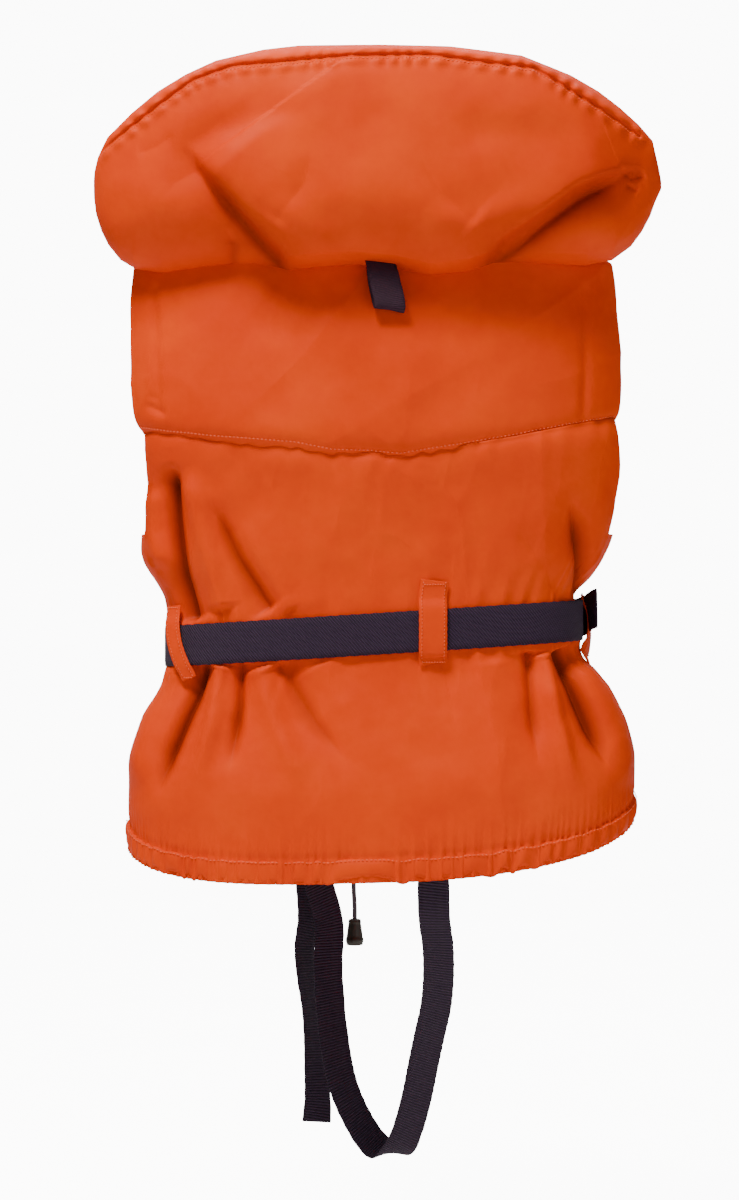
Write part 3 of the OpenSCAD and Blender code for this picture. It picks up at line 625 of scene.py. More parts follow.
def collar_grid(cols, rows, front):
    """Points of the back or head side of the collar, from its top edge down."""
    s = np.sin(np.linspace(-1, 1, cols) * math.pi / 2)
    x = -COLLAR_END * s
    top = np.interp(x, *zip(*COLLAR_TOP))
    low = np.interp(x, *zip(*COLLAR_LOW))
    t = np.cos(np.linspace(0, math.pi, rows))[:, None]
    z = (top + low) / 2 + t * (top - low) / 2
    x = np.broadcast_to(x, z.shape)
    end = np.sqrt(np.clip(1 - np.abs(x / COLLAR_END) ** 5, 0, 1))
    edge = np.sqrt(np.clip(1 - np.abs(t) ** 3.0, 0, 1))
    y = COLLAR_SEAM_Y + COLLAR_LEAN * z - COLLAR_WRAP * (x / 285) ** 2
    if front:
        return x, z, y, -27 * end * edge + 1.2 * noise(x, z, 30, 5) * end * edge
    return x, z, y, 40 * end * edge


def collar_relief(x, z):
    """The folds, lobes and puckers of the collar's back."""
    out = np.zeros(np.shape(x))
    out += lap(x, z, LEFT_FOLD[::-1], 2.4, 24, 80, 0, 0.3)
    out += lap(x, z, RIGHT_FOLD, 2.4, 24, 80, 0.3, 0)
    out += crease(x, z, [(186, 112), (156, 72), (122, 30), (100, 4)], 9, -13, 0.25, 0)
    out += crease(x, z, [(-240, 84), (-196, 62), (-152, 30), (-128, 8)], 9, -13, 0.25, 0)
    out += 12 * np.exp(-(((x - 222) / 50) ** 2 + ((z - 56) / 46) ** 2))
    out += 11 * np.exp(-(((x + 208) / 50) ** 2 + ((z - 34) / 28) ** 2))
    out += 9 * np.exp(-(((x - 10) / 120) ** 2 + ((z - 55) / 60) ** 2))
    out += crease(x, z, [(196, 122), (214, 110), (236, 104)], 8, -2)
    out += crease(x, z, [(172, 88), (196, 74), (214, 52)], 14, -2, 0.1, 0.6)
    out += crease(x, z, [(-96, 30), (-60, 60), (-30, 110)], 16, -3.5, 0.1, 0.7)
    out += crease(x, z, [(100, 30), (70, 70), (60, 120)], 16, -3.5, 0.1, 0.7)
    out += crumple(x, z, 80, 13, 1.6, 1.6, 35)
    out += crease(x, z, [(150, 36), (139, 18), (142, -2)], 6, -7, 0.4, 0)
    out += crease(x, z, [(-232, 92), (-248, 84), (-264, 90)], 4, -6)
    out += crease(x, z, [(-240, 78), (-256, 72)], 4, -4)
    out += roll(x, z, [(60, 150), (150, 120), (205, 100)], 14, -3)
    out += roll(x, z, [(-40, 40), (-95, 30), (-150, 60)], 14, 3)
    out += roll(x, z, [(-60, 120), (-140, 118), (-215, 110)], 18, -3)
    out += roll(x, z, [(100, 60), (60, 20), (30, 4)], 13, 2.5)
    dist, _, along = from_line(x, z, SEAM_TOP)
    out += -3.2 * np.exp(-(dist / 2.2) ** 2) + 1.5 * np.exp(-((dist - 6) / 4.5) ** 2)
    pucker = np.sin(along * 210 + 3 * noise(x, z, 40, 9)) * (0.6 + 0.4 * noise(x, z, 26, 10))
    out += 1.8 * pucker * np.exp(-((dist - 4) / 7) ** 2)
    out += 1.1 * noise(x, z, 46, 11) + 0.5 * noise(x, z, 19, 12)
    return out


def collar_side(cols, rows, front):
    x, z, y, depth = collar_grid(cols, rows, front)
    swell = np.clip(np.abs(depth) / 18, 0, 1)
    if not front:
        depth = depth + collar_relief(x, z) * swell
    points = np.stack([x, y + depth, z], axis=-1)
    return points


back = collar_side(461, 260, False)
head = collar_side(461, 260, True)
rows, cols = back.shape[:2]
faces = grid_faces(rows, cols)
verts = np.concatenate([back.reshape(-1, 3), head.reshape(-1, 3)])
collar_faces = [tuple(f) for f in faces] + [tuple(rows * cols + f[::-1]) for f in faces]
collar = mesh_object("collar_cushion", verts, collar_faces, [orange_nylon])
x, z = back[..., 0], back[..., 2]
# Painted shade: how deep each point lies in the collar's creases and under its top seam, which darkens the
# colour there.
deep = (crease(x, z, [(182, 96), (150, 62), (124, 30), (94, -4)], 9, 0.95, 0.45, 0)
        + crease(x, z, [(-258, 94), (-200, 60), (-154, 26), (-112, -2)], 9, 0.95, 0.35, 0)
        + crease(x, z, [(140, 24), (141, -4)], 5, 0.5) + crease(x, z, [(-238, 86), (-262, 90)], 5, 0.5)
        + crease(x, z, SEAM_TOP, 2.5, 0.35, 0.05, 0.05))
paint_shade_in_folds(collar, np.concatenate([deep.ravel(), np.zeros(head.shape[0] * head.shape[1])]))
weld = collar.modifiers.new("edge_weld", "WELD")
weld.merge_threshold = 0.00002
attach(collar, "collar")
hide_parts("collar_back_cover", "collar_head_cover", "collar_foam")


# ---------------------------------------------------------------- yoke
# The upper back holds a 24 mm foam sheet between the cloth and the lining. Its lower edge is
# stitched down over the lower back panel.
def yoke_relief(x, z, u):
    out = 1.8 * noise(x, z, 90, 21) + 0.6 * noise(x, z, 34, 22) + 0.25 * noise(x, z, 14, 23)
    out += crumple(x, z, 80, 26, 1.6, 1.5, 60) + crumple(x, z, 30, 27, 0.5, 1.5, 20)
    out += crease(x, z, [(232, -134), (214, -143), (206, -147)], 3.0, -3.5)
    out += crease(x, z, [(228, -126), (216, -131)], 3.0, -2.0)
    out += roll(x, z, [(-206, -10), (-204, -160)], 5, -2.2, 0.1, 0.1)
    out += roll(x, z, [(222, -10), (216, -150)], 5, -2.0, 0.1, 0.1)
    out += roll(x, z, [(60, -20), (20, -90), (-60, -140)], 26, 1.6)
    over_seam = z - seam_height(u)
    out += -7 * np.exp(-np.maximum(over_seam, 0) / 7)
    out += (0.8 * np.sin(x / 3.4 + 2.4 * noise(x, z, 30, 24)) * np.exp(-over_seam / 7)
            * (0.5 + 0.5 * noise(x, z, 50, 25)))
    return out


def back_sheet(u0, u1, cols, top, low, rows, relief, lift=0.0):
    u = even_angles(u0, u1, cols)[None, :]
    t = np.linspace(0, 1, rows)[:, None]
    z = top(u) + (low(u) - top(u)) * t
    u = np.broadcast_to(u, z.shape)
    flat = torso(u, z)
    out = relief(flat[..., 0], z, u)
    return torso(u, z, lift + out), u, z


YOKE_U0, YOKE_U1 = 23, 157
points, u, z = back_sheet(YOKE_U0, YOKE_U1, 240, lambda u: 6 + 0 * u, lambda u: seam_height(u) - 1, 90,
                          yoke_relief)
YOKE_THICK = 26
YOKE_HALF_W, YOKE_HALF_D = 262, 121
inner = torso(u, z) * np.array([1 - YOKE_THICK / YOKE_HALF_W, 1 - YOKE_THICK / YOKE_HALF_D, 1])
EDGE_STEPS = 10


def padded_panel(outer, inner, name, material):
    """Closes an outer and an inner sheet into one pad with rounded edges."""
    rows, cols = outer.shape[:2]

    def ring(sheet):
        return np.concatenate([sheet[0, :], sheet[1:, -1], sheet[-1, -2::-1], sheet[-2:0:-1, 0]])

    o, i = ring(outer), ring(inner)
    half = np.linalg.norm(o - i, axis=1, keepdims=True) / 2
    middle = (o + i) / 2
    next_o, next_i = ring_inner(outer), ring_inner(inner)
    out = unit((o + i) / 2 - (next_o + next_i) / 2)
    verts = [outer.reshape(-1, 3), inner.reshape(-1, 3)]
    n = rows * cols
    ring_ids = np.concatenate([np.arange(cols), cols - 1 + cols * np.arange(1, rows),
                               (rows - 1) * cols + np.arange(cols - 2, -1, -1),
                               cols * np.arange(rows - 2, 0, -1)])
    loops = [ring_ids]
    for step in range(1, EDGE_STEPS):
        a = math.pi * step / EDGE_STEPS
        loops.append(sum(len(v) for v in verts) + np.arange(len(o)))
        verts.append(middle + (o - middle) * math.cos(a) + out * half * 0.55 * math.sin(a))
    loops.append(ring_ids + n)
    faces = [tuple(f) for f in grid_faces(rows, cols)] + [tuple(n + f[::-1]) for f in grid_faces(rows, cols)]
    for a, b in zip(loops[:-1], loops[1:]):
        for k in range(len(a)):
            m = (k + 1) % len(a)
            faces.append((a[k], a[m], b[m], b[k]))
    return mesh_object(name, np.concatenate(verts), faces, [material])


def ring_inner(sheet):
    """The points just inside each point of a sheet's edge."""
    rows, cols = sheet.shape[:2]
    r = np.concatenate([np.zeros(cols), np.arange(1, rows), np.full(cols - 1, rows - 1),
                        np.arange(rows - 2, 0, -1)])
    c = np.concatenate([np.arange(cols), np.full(rows - 1, cols - 1), np.arange(cols - 2, -1, -1),
                        np.zeros(rows - 2)])
    return sheet[np.clip(r, 1, rows - 2).astype(int), np.clip(c, 1, cols - 2).astype(int)]


yoke = padded_panel(points, inner, "yoke_pad", orange_nylon)
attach(yoke, "jacket")
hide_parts("yoke_cover", "yoke_foam", "back_lining")


# ---------------------------------------------------------------- lower back
# A single sheet of cloth from the yoke seam to the hem and round both sides, pulled in by the
# belt, so that it folds above and below it.
def skirt_relief(x, z, u):
    out = np.zeros(np.shape(x))
    on_back = ease((np.sin(np.radians(u)) + 0.35) / 0.3)
    # left side above the belt
    out += crease(x, z, [(206, -190), (203, -250), (196, -305), (184, -352)], 8, -19, 0.15, 0.05)
    out += roll(x, z, [(190, -196), (172, -260), (152, -338)], 12, 8, 0.2, 0.05)
    out += roll(x, z, [(226, -215), (224, -262), (212, -300)], 9, 5, 0.2, 0.2)
    out += crease(x, z, [(168, -225), (140, -285), (104, -340)], 9, -11, 0.35, 0.05)
    out += roll(x, z, [(138, -240), (112, -296), (84, -340)], 10, 3.5, 0.35, 0.05)
    out += roll(x, z, [(120, -225), (92, -300), (66, -342)], 14, 2.5, 0.4, 0.1)
    # right side above the belt
    out += crease(x, z, [(-188, -215), (-206, -290), (-207, -340)], 8, -13, 0.4, 0.05)
    out += crease(x, z, [(-130, -250), (-168, -300), (-185, -340)], 12, -3.5, 0.4, 0.1)
    out += roll(x, z, [(-225, -200), (-222, -270), (-214, -325)], 10, 3, 0.3, 0.2)
    # left side below the belt
    out += crease(x, z, [(172, -388), (184, -425), (208, -482), (222, -530)], 9, -19, 0.02, 0.4)
    out += roll(x, z, [(198, -395), (228, -446), (244, -520)], 12, 6, 0.05, 0.3)
    out += crease(x, z, [(136, -388), (137, -436), (146, -500)], 7, -14, 0.02, 0.5)
    out += roll(x, z, [(153, -392), (162, -446), (180, -515)], 9, 8, 0.02, 0.4)
    out += roll(x, z, [(116, -394), (98, -450), (70, -515)], 12, 7, 0.02, 0.4)
    out += crease(x, z, [(98, -390), (60, -450), (16, -500)], 11, -7, 0.02, 0.5)
    out += roll(x, z, [(60, -388), (22, -450), (-10, -510)], 18, 3, 0.05, 0.5)
    # right side below the belt
    out += crease(x, z, [(-180, -376), (-200, -425), (-234, -505)], 9, -19, 0.02, 0.4)
    out += crease(x, z, [(-150, -378), (-152, -436), (-158, -500)], 8, -11, 0.02, 0.5)
    out += roll(x, z, [(-165, -380), (-176, -446), (-196, -520)], 9, 8, 0.02, 0.4)
    out += crumple(x, z, 60, 38, 2.4, 2.6, 0) + crumple(x, z, 26, 39, 0.7, 2.2, 8)
    out += roll(x, z, [(-205, -390), (-238, -450), (-252, -520)], 12, 4, 0.1, 0.3)
    out += roll(x, z, [(-110, -385), (-118, -450), (-130, -530)], 16, 3, 0.05, 0.4)
    out += crease(x, z, [(-60, -378), (-72, -430), (-80, -480)], 12, -2, 0.05, 0.5)
    out *= on_back
    # flat under the belt, slack elsewhere
    belt = belt_height(x)
    held = np.exp(-((z - belt) / 20) ** 4)
    gathers = (np.sin(u * 0.9 + 3 * noise(u * 3, z * 0.1, 20, 31))
               * np.exp(-(np.maximum(np.abs(z - belt) - 18, 0)) / 26))
    out = out * (1 - 0.9 * held) + 1.0 * gathers * (1 - held)
    out += ((1.8 * noise(x, z, 70, 32) + 0.8 * noise(x, z, 28, 33) + 0.3 * noise(x, z, 12, 34))
            * (1 - 0.8 * held))
    # gathers drawn up by the cord in the hem
    hem = z - hem_height(u)
    scallop = (np.sin(u * 2.5 + 4 * noise(u * 4, 0 * z, 26, 35))
               + 0.5 * np.sin(u * 5.3 + 5 * noise(u * 4, 0 * z, 18, 36)))
    out += 1.3 * scallop * np.exp(-np.maximum(hem - 18, 0) / 12)
    out += -1.2 * np.exp(-((hem - 23) / 4) ** 2)
    out += -9 * np.exp(-np.maximum(skirt_edge(u) - z, 0) / 14) * (1 - on_back)
    under_seam = seam_height(u) - z
    out += (-5 * np.exp(-np.maximum(under_seam, 0) / 9)
            + 0.7 * np.sin(x / 3.8 + 2 * noise(x, z, 30, 37)) * np.exp(-np.abs(under_seam) / 12)) * on_back
    return out


def belt_height(x):
    return -361 - 0.063 * np.asarray(x)


def skirt_edge(u):
    s = np.sin(np.radians(u))
    return np.where(s >= 0.42, seam_height(u) + 3,
                    np.interp(s, [-1, 0.30, 0.42], [-262, -262, seam_height(25) + 3]))


u = even_angles(-31, 211, 470, -500.0)[None, :]
t = np.linspace(0, 1, 230)[:, None]
z = skirt_edge(u) + (hem_height(u) - 2 - skirt_edge(u)) * t
u = np.broadcast_to(u, z.shape)
flat = torso(u, z)
relief = skirt_relief(flat[..., 0], z, u)
skirt = grid_object("lower_back_cloth", torso(u, z, relief - 0.5), [orange_nylon])
# Painted shade: the deeper the cloth lies in a fold or under the yoke seam, the darker its colour.
paint_shade_in_folds(skirt, (-relief - 2.5) / 11)
thicken(skirt, 0.9)
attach(skirt, "jacket")
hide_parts("back_panel", "side_panel_left", "side_panel_right")


# ---------------------------------------------------------------- hem casing
# A 20 mm casing folded up round the bottom edge and stitched along its top. The cord inside
# draws it into small even gathers.
def casing_point(u, height, lift):
    gather = np.sin(np.radians(62 * u) + 2.6 * noise(u * 4, 0 * u, 26, 35))
    swell = 0.6 + 0.4 * noise(u * 4, 0 * u, 40, 41)
    full = np.clip(lift / 2 + 0.6, 0, 1) * np.exp(-((height - 9) / 12) ** 2)
    flat = hem_height(u) + height + (4.2 * gather * swell) * (1 - height / 30)
    return torso(u, flat, lift + 2.6 * gather * swell * full)


u = even_angles(-88, 268, 1100, -560.0)[None, :]
around = np.radians(np.linspace(0, 360, 25)[:-1])[:, None]
tall = 10 + 10.5 * signed_pow(np.cos(around), 0.55)
lift = -1.9 + 2.9 * signed_pow(np.sin(around), 0.8)
height, lift, u = np.broadcast_arrays(tall, lift, u)
points = casing_point(u, height, lift)
points = np.concatenate([points, points[:1]])
casing = grid_object("hem_casing_cloth", points[::-1], [orange_nylon])
weld = casing.modifiers.new("join", "WELD")
weld.merge_threshold = 0.00002
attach(casing, "jacket")
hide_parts("hem_casing")

edge = even_angles(-87, 267, 700, -540.0)
stitches("hem_stitches", casing_point(edge, 19.5 + 0 * edge, 1.0 + 0 * edge), "jacket",
         torso(edge, hem_height(edge) + 19.5, 5.0) - torso(edge, hem_height(edge) + 19.5))


# ---------------------------------------------------------------- yoke seam and collar seam
# The yoke is topstitched 4 mm above its lower edge, and the collar's back is gathered into the
# gusset along its top.
u = even_angles(YOKE_U0 + 1, YOKE_U1 - 1, 300)
z = seam_height(u) + 4.5
flat = torso(u, z)
path = torso(u, z, yoke_relief(flat[:, 0], z, u) + 0.2)
stitches("yoke_stitches", path, "jacket", torso(u, z, 5.0) - torso(u, z), 4.0, 2.7, 0.5)


def on_collar(line, count, offset=0.0):
    """Points on the collar's back along a line in x and z."""
    line = np.asarray(line, float)
    run = lengths(line)
    s = np.linspace(0, run[-1], count)
    x, z = np.interp(s, run, line[:, 0]), np.interp(s, run, line[:, 1]) + offset
    place = back.reshape(-1, 3)
    out = []
    for px, pz in zip(x, z):
        gap = (place[:, 0] - px) ** 2 + (place[:, 2] - pz) ** 2
        near = np.argsort(gap)[:4]
        weight = 1 / (gap[near] + 0.05)
        out.append([px, np.sum(place[near, 1] * weight) / weight.sum(), pz])
    return np.array(out)


stitches("collar_stitches", on_collar(SEAM_TOP, 260, -3.5) + [0, 0.3, 0], "collar",
         (0, 1, 0.1), 4.0, 2.6, 0.4)


# ---------------------------------------------------------------- waist belt
# 40 mm polypropylene webbing with a fine slanting rib. It runs through five cloth loops, and
# each end goes round a bar of the buckle. The wearer's right end is long, and folds back.
BELT_W = 40
BELT_T = 1.8
# The real ribs are 1.1 mm apart; 2 mm shows at this distance
belt_webbing = webbing_material("woven_polypropylene_twill", "#40294C", "#0C0614", 3.0, 0.75, 1.0)


def belt_path(u, lift):
    """Centre line of the webbing on the body, standing off where it is slack."""
    slack = 3.0 * np.exp(-((u - 140) / 9) ** 2) + 2.0 * np.exp(-((u - 52) / 8) ** 2)
    flat = torso(u, -361 + 0 * u, 0, 0)
    return torso(u, belt_height(flat[:, 0]), lift + slack, 0)


def round_body(u):
    """The level direction along the body at angles u."""
    return unit(torso(u + 0.5, -361 + 0 * u, 0, 0) - torso(u - 0.5, -361 + 0 * u, 0, 0))


u = even_angles(279, 621, 420, -361.0)
body_run = belt_path(u, 2.0)
left_end = np.array([(88, -164.6, -366.3), (70, -172.2, -365.2), (56, -178.5, -364.0), (45, -183.0, -362.6),
                     (38.5, -182.8, -361.8), (36.4, -178, -361.6), (36.6, -171, -361.8),
                     (39.5, -166.9, -362.4)])
right_end = np.array([(-33, -165.6, -358.9), (-27.4, -168.0, -359.0), (-26.4, -174, -359.0),
                      (-27.6, -180.6, -359.0), (-31.5, -182.0, -359.0)])
route = curve_points(np.concatenate([left_end, body_run[4:-4:6], right_end]), 6)
belt = strap_mesh("waist_belt_webbing", route, np.tile([0.0, 0.0, 1.0], (len(route), 1)),
                  BELT_W / 2, BELT_T / 2, [belt_webbing], 0.3)
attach(belt, "jacket")
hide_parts("waist_belt")

u = np.linspace(250, 196, 60)
tail_run = belt_path(u, 4.6)
bar = np.array([(-31.5, -182.2, -359.0), (-36, -183.2, -359.0), (-43, -183.4, -359.0), (-51, -181.6, -358.6)])
free = np.array([(-212.5, -16, -344), (-215, -4, -341), (-218, 9, -338), (-222, 18, -336)])
route = curve_points(np.concatenate([bar, tail_run[::5], free]), 8)
share = np.linspace(0, 1, len(route))[:, None]
lean = np.array([0.0, 0.0, 1.0]) + np.array([-0.10, 0.0, 0.0]) * ease((share - 0.85) / 0.15)
tail = strap_mesh("belt_tail_webbing", route, lean, BELT_W / 2, BELT_T / 2, [belt_webbing], 0.3)
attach(tail, "jacket")
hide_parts("belt_tail")


# ---------------------------------------------------------------- belt loops
# Strips of the orange nylon, folded double and edge-stitched, with their ends sewn flat above
# and below the belt. The side ones have twisted and stand off the webbing.
def cloth_strip(name, u, z, lift, half_w, turn=0.0):
    """A strip down the body through angles u and heights z."""
    u, z, lift = (np.asarray(v, float) for v in (u, z, lift))
    points = curve_points(torso(u, z, lift, 0), 10)
    angle = np.interp(np.linspace(0, 1, len(points)), np.linspace(0, 1, len(u)), u)
    across = round_body(angle)
    if turn:
        across = unit(across + turn * unit(points * [1, 1, 0]))
    strip = strap_mesh(name, points, -across, half_w, 0.8, [orange_nylon], 0.15)
    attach(strip, "jacket")
    down = unit(np.gradient(points, axis=0))
    out = unit(np.cross(-across, down))
    out = np.where((np.sum(out * (points * [1, 1, 0]), axis=1) < 0)[:, None], -out, out)
    for side in (-1, 1):
        stitches(name + ("_edge_a" if side < 0 else "_edge_b"),
                 points + side * across * (half_w - 2.6) + out * 0.95, "jacket", out, 3.6, 2.4, 0.36)
    for k, end in enumerate((3, -4)):
        bar = np.linspace(-1, 1, 12)[:, None] * across[end] * (half_w - 2) + points[end] + out[end] * 0.95
        stitches("%s_bar_%d" % (name, k), bar, "jacket", np.tile(out[end], (12, 1)), 2.6, 2.2, 0.5)
    return strip


back_loop = cloth_strip("belt_loop_back_strip", [99.5, 99.5, 99.6, 99.6, 99.5, 99.4, 99.4],
                        [-309, -325, -337, -359, -379, -384, -390], [1.0, 1.6, 5.2, 5.8, 5.4, 2.2, 1.2], 13.5)
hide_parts("belt_loop_back")
left_loop = cloth_strip("belt_loop_left_strip", [23, 23.5, 25, 27.5, 30.5, 32.5, 33.5],
                        [-334, -343, -354, -372, -390, -400, -406],
                        [1.5, 4.5, 8.0, 9.0, 7.0, 3.5, 1.0], 8.5, -0.35)
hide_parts("belt_loop_left")
right_loop = cloth_strip("belt_loop_right_strip", [184, 184, 183, 181, 178, 174, 171],
                         [-322, -330, -342, -358, -372, -380, -386],
                         [1.0, 5.0, 10.0, 10.5, 8.0, 4.0, 1.0], 12.0, 0.2)
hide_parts("belt_loop_right")
front_left = cloth_strip("belt_loop_front_left_strip", [311, 311, 311, 311, 311, 311],
                         [-330, -342, -352, -388, -398, -412], [1.0, 1.8, 5.2, 5.2, 1.8, 1.0], 13.0)
cloth_strip("belt_loop_front_right_strip", [229, 229, 229, 229, 229, 229],
            [-306, -316, -326, -364, -374, -388], [1.0, 1.8, 7.4, 7.4, 1.8, 1.0], 13.0)
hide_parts("belt_loops_front")


# ---------------------------------------------------------------- grab loop
# A flat loop of dark webbing ribbon sewn into the seam under the collar, for hanging and lifting.
grab_ribbon = webbing_material("woven_ribbon_dark", "#3C1C38", "#1B0C1E", 1.6, 0.0, 0.6)
front_face = [(-4, 114.5, 2), (-4, 116, -8), (-5.5, 117.2, -20), (-8, 118.2, -32), (-10, 120, -42),
              (-11, 123.2, -46.5)]
back_face = [(-12, 126.5, -44), (-11, 128.4, -36), (-8, 128.8, -24), (-5.5, 127, -12), (-3, 122, -3),
             (-2, 117, 3)]
route = curve_points(np.array(front_face + back_face, float), 8)
spin = np.linspace(0.0, 1.0, len(route))
across = np.stack([np.cos(0.2 * spin), 0.12 * np.sin(spin * math.pi), 0.10 + 0.14 * spin], axis=1)
ribbon = strap_mesh("grab_loop_ribbon", route, across, 14.5, 0.7, [grab_ribbon], 0.15)
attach(ribbon, "grab_loop")
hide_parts("grab_loop")


# ---------------------------------------------------------------- fronts
# Two front halves with thick soft foam between cloth and lining, stitched round their edges and
# drawn in by the belt.
def front_top(u):
    return -95 + 50 * ease((from_front(u) - 1.7) / 28)


def front_relief(x, z, u):
    out = 2.2 * noise(x, z, 80, 51) + 1.0 * noise(x, z, 32, 52) + 0.4 * noise(x, z, 13, 53)
    out += crumple(x, z, 56, 56, 2.0, 1.6, 70)
    belt = belt_height(x)
    near = np.abs(z - belt)
    out += -7 * np.exp(-((z - belt) / 24) ** 4)
    out += 2.4 * np.sin(u * 1.15 + 4 * noise(u * 3, 0 * z, 18, 54)) * np.exp(-np.maximum(near - 20, 0) / 34) \
        * ease((near - 18) / 12)
    top = front_top(u)
    out += -6 * np.exp(-np.maximum(top - z, 0) / 9)
    out += -3.4 * np.exp(-((top - z - 11) / 2.4) ** 2)
    hem = z - hem_height(u)
    out += 1.1 * np.sin(u * 2.5 + 4 * noise(u * 4, 0 * z, 26, 35)) * np.exp(-np.maximum(hem - 18, 0) / 9)
    out += -2.5 * np.exp(-((hem - 22) / 4) ** 2)
    return out


for name, side, u0, u1 in (("front_pad_left", "left", 271.9, 331.5),
                           ("front_pad_right", "right", 208.5, 268.1)):
    u = even_angles(u0, u1, 170, -200.0)[None, :]
    t = np.linspace(0, 1, 230)[:, None]
    z = front_top(u) + (hem_height(u) + 4 - front_top(u)) * t
    u = np.broadcast_to(u, z.shape)
    flat = torso(u, z)
    outer = torso(u, z, front_relief(flat[..., 0], z, u))
    inner = torso(u, z, -9.0 + 0.8 * noise(flat[..., 0], z, 40, 55), 1, 0)
    pad = padded_panel(outer, inner, name, orange_nylon)
    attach(pad, "jacket")
    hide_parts("front_cover_" + side, "front_foam_" + side, "front_lining_" + side)
    row = front_top(u[0]) - 11
    edge_u = u[0][4:-4]
    line = front_top(edge_u) - 11
    flat = torso(edge_u, line)
    path = torso(edge_u, line, front_relief(flat[:, 0], line, edge_u) + 0.2)
    stitches("front_top_stitches_" + side, path, "jacket",
             torso(edge_u, line, 5.0) - torso(edge_u, line), 4.0, 2.7)


def on_front(u, z, lift=0.0):
    """Points on the front as it lies, for what is sewn to it."""
    flat = torso(u, z)
    return torso(u, z, front_relief(flat[..., 0], z, u) + lift)


# ---------------------------------------------------------------- shoulders
# Flat foam pads over the shoulders, between the yoke and the fronts.
def plan_y(x, half_w, half_d):
    return half_d * (1 - (np.abs(x) / half_w) ** (2 / SQUARE)) ** (SQUARE / 2)


for name, side, sign in (("shoulder_pad_left", "left", 1), ("shoulder_pad_right", "right", -1)):
    x = np.linspace(sign * 94, sign * 208, 44)[None, :]
    t = np.linspace(0, 1, 90)[:, None]
    y = plan_y(x, 221, 88) * (1 - t) - plan_y(x, 238, 124) * t
    x = np.broadcast_to(x, y.shape)
    z = -8 - 0.17 * (np.abs(x) - 98) - np.where(y > -8, 0.0014, 0.0026) * (y + 8) ** 2
    z = z + 1.2 * noise(x, y, 40, 61) + 0.5 * noise(x, y, 18, 62)
    outer = np.stack([x, y, z], axis=-1)
    inner = np.stack([x, y, z - 17], axis=-1)
    if sign > 0:
        outer, inner = outer[:, ::-1], inner[:, ::-1]
    pad = padded_panel(outer[::-1], inner[::-1], name, orange_nylon)
    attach(pad, "jacket")
    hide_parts("shoulder_cover_" + side, "shoulder_foam_" + side)


# ---------------------------------------------------------------- moulded hardware
# Buckle, cord lock, adjuster and bell are injection-moulded acetal, near black with a slight
# sheen and soft edges. The eyelets are nickel-plated brass.
def plain_material(name, colour, rough, metal=0.0, grain=0.0002, scale=900.0, spread=0.12):
    made, tree = new_material(name)
    place = add(tree, "TexCoord")
    cloud = add(tree, "TexNoise", None, {"Vector": (place, "Object"), "Scale": scale, "Detail": 3.0})
    wear = add(tree, "TexNoise", None, {"Vector": (place, "Object"), "Scale": 60.0, "Detail": 4.0})
    tone = add(tree, "MixRGB", {"blend_type": "MULTIPLY"}, {
        "Color1": linear(colour), "Fac": spread, "Color2": (wear, "Color")})
    rougher = add(tree, "MapRange", None, {
        "Value": (wear, "Fac"), "To Min": rough - 0.06, "To Max": rough + 0.08})
    bump = add(tree, "Bump", None, {"Height": (cloud, "Fac"), "Strength": 0.25, "Distance": grain})
    close(tree, add(tree, "BsdfPrincipled", None, {
        "Base Color": (tone, "Color"), "Roughness": (rougher, "Result"), "Metallic": metal,
        "Normal": (bump, "Normal")}))
    return made


acetal = plain_material("moulded_acetal_black", "#241F27", 0.42)
acetal_brown = plain_material("moulded_acetal_brown_black", "#2E2925", 0.38)
zip_plastic = plain_material("moulded_zip_plastic", "#24222C", 0.36)
whistle_plastic = plain_material("moulded_whistle_plastic", "#F07A12", 0.32)
nickel = plain_material("nickel_plated_brass", "#C9C6C0", 0.28, 1.0, 0.00005)
spring_steel = plain_material("spring_steel", "#B5B5B8", 0.3, 1.0, 0.00005)


def moulded(node, body, material, bevel, name=None):
    """A CAD node with the soft edges of a moulding."""
    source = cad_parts[node]
    shape = bmesh.new()
    shape.from_mesh(source.data)
    shape.transform(source.matrix_world)
    bmesh.ops.remove_doubles(shape, verts=shape.verts, dist=0.00002)
    bmesh.ops.dissolve_limit(shape, angle_limit=math.radians(1.5), verts=shape.verts, edges=shape.edges)
    sharp = [e for e in shape.edges if len(e.link_faces) == 2 and e.calc_face_angle(0) > math.radians(32)]
    if bevel:
        bmesh.ops.bevel(shape, geom=sharp, offset=bevel * MM, segments=3, profile=0.5, affect="EDGES",
                        clamp_overlap=True)
    data = bpy.data.meshes.new(name or node + "_moulding")
    shape.to_mesh(data)
    shape.free()
    data.shade_smooth()
    data.set_sharp_from_angle(angle=math.radians(38))
    data.materials.append(material)
    made = bpy.data.objects.new(name or node + "_moulding", data)
    scene.collection.objects.link(made)
    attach(made, body)
    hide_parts(node)
    return made


moulded("buckle_socket", "jacket", acetal, 1.6)
moulded("buckle_plug", "jacket", acetal, 1.3)
moulded("buckle_arm_upper", "buckle_arm_upper", acetal, 1.0)
moulded("buckle_arm_lower", "buckle_arm_lower", acetal, 1.0)
moulded("cord_lock_body", "cord_lock", acetal, 0.8)
moulded("cord_lock_plunger", "cord_lock_plunger", acetal, 0.8)
moulded("cord_lock_spring", "cord_lock", spring_steel, 0.15)
moulded("crotch_adjuster", "crotch_strap", acetal, 0.9)
moulded("hem_eyelets", "jacket", nickel, 0.45)


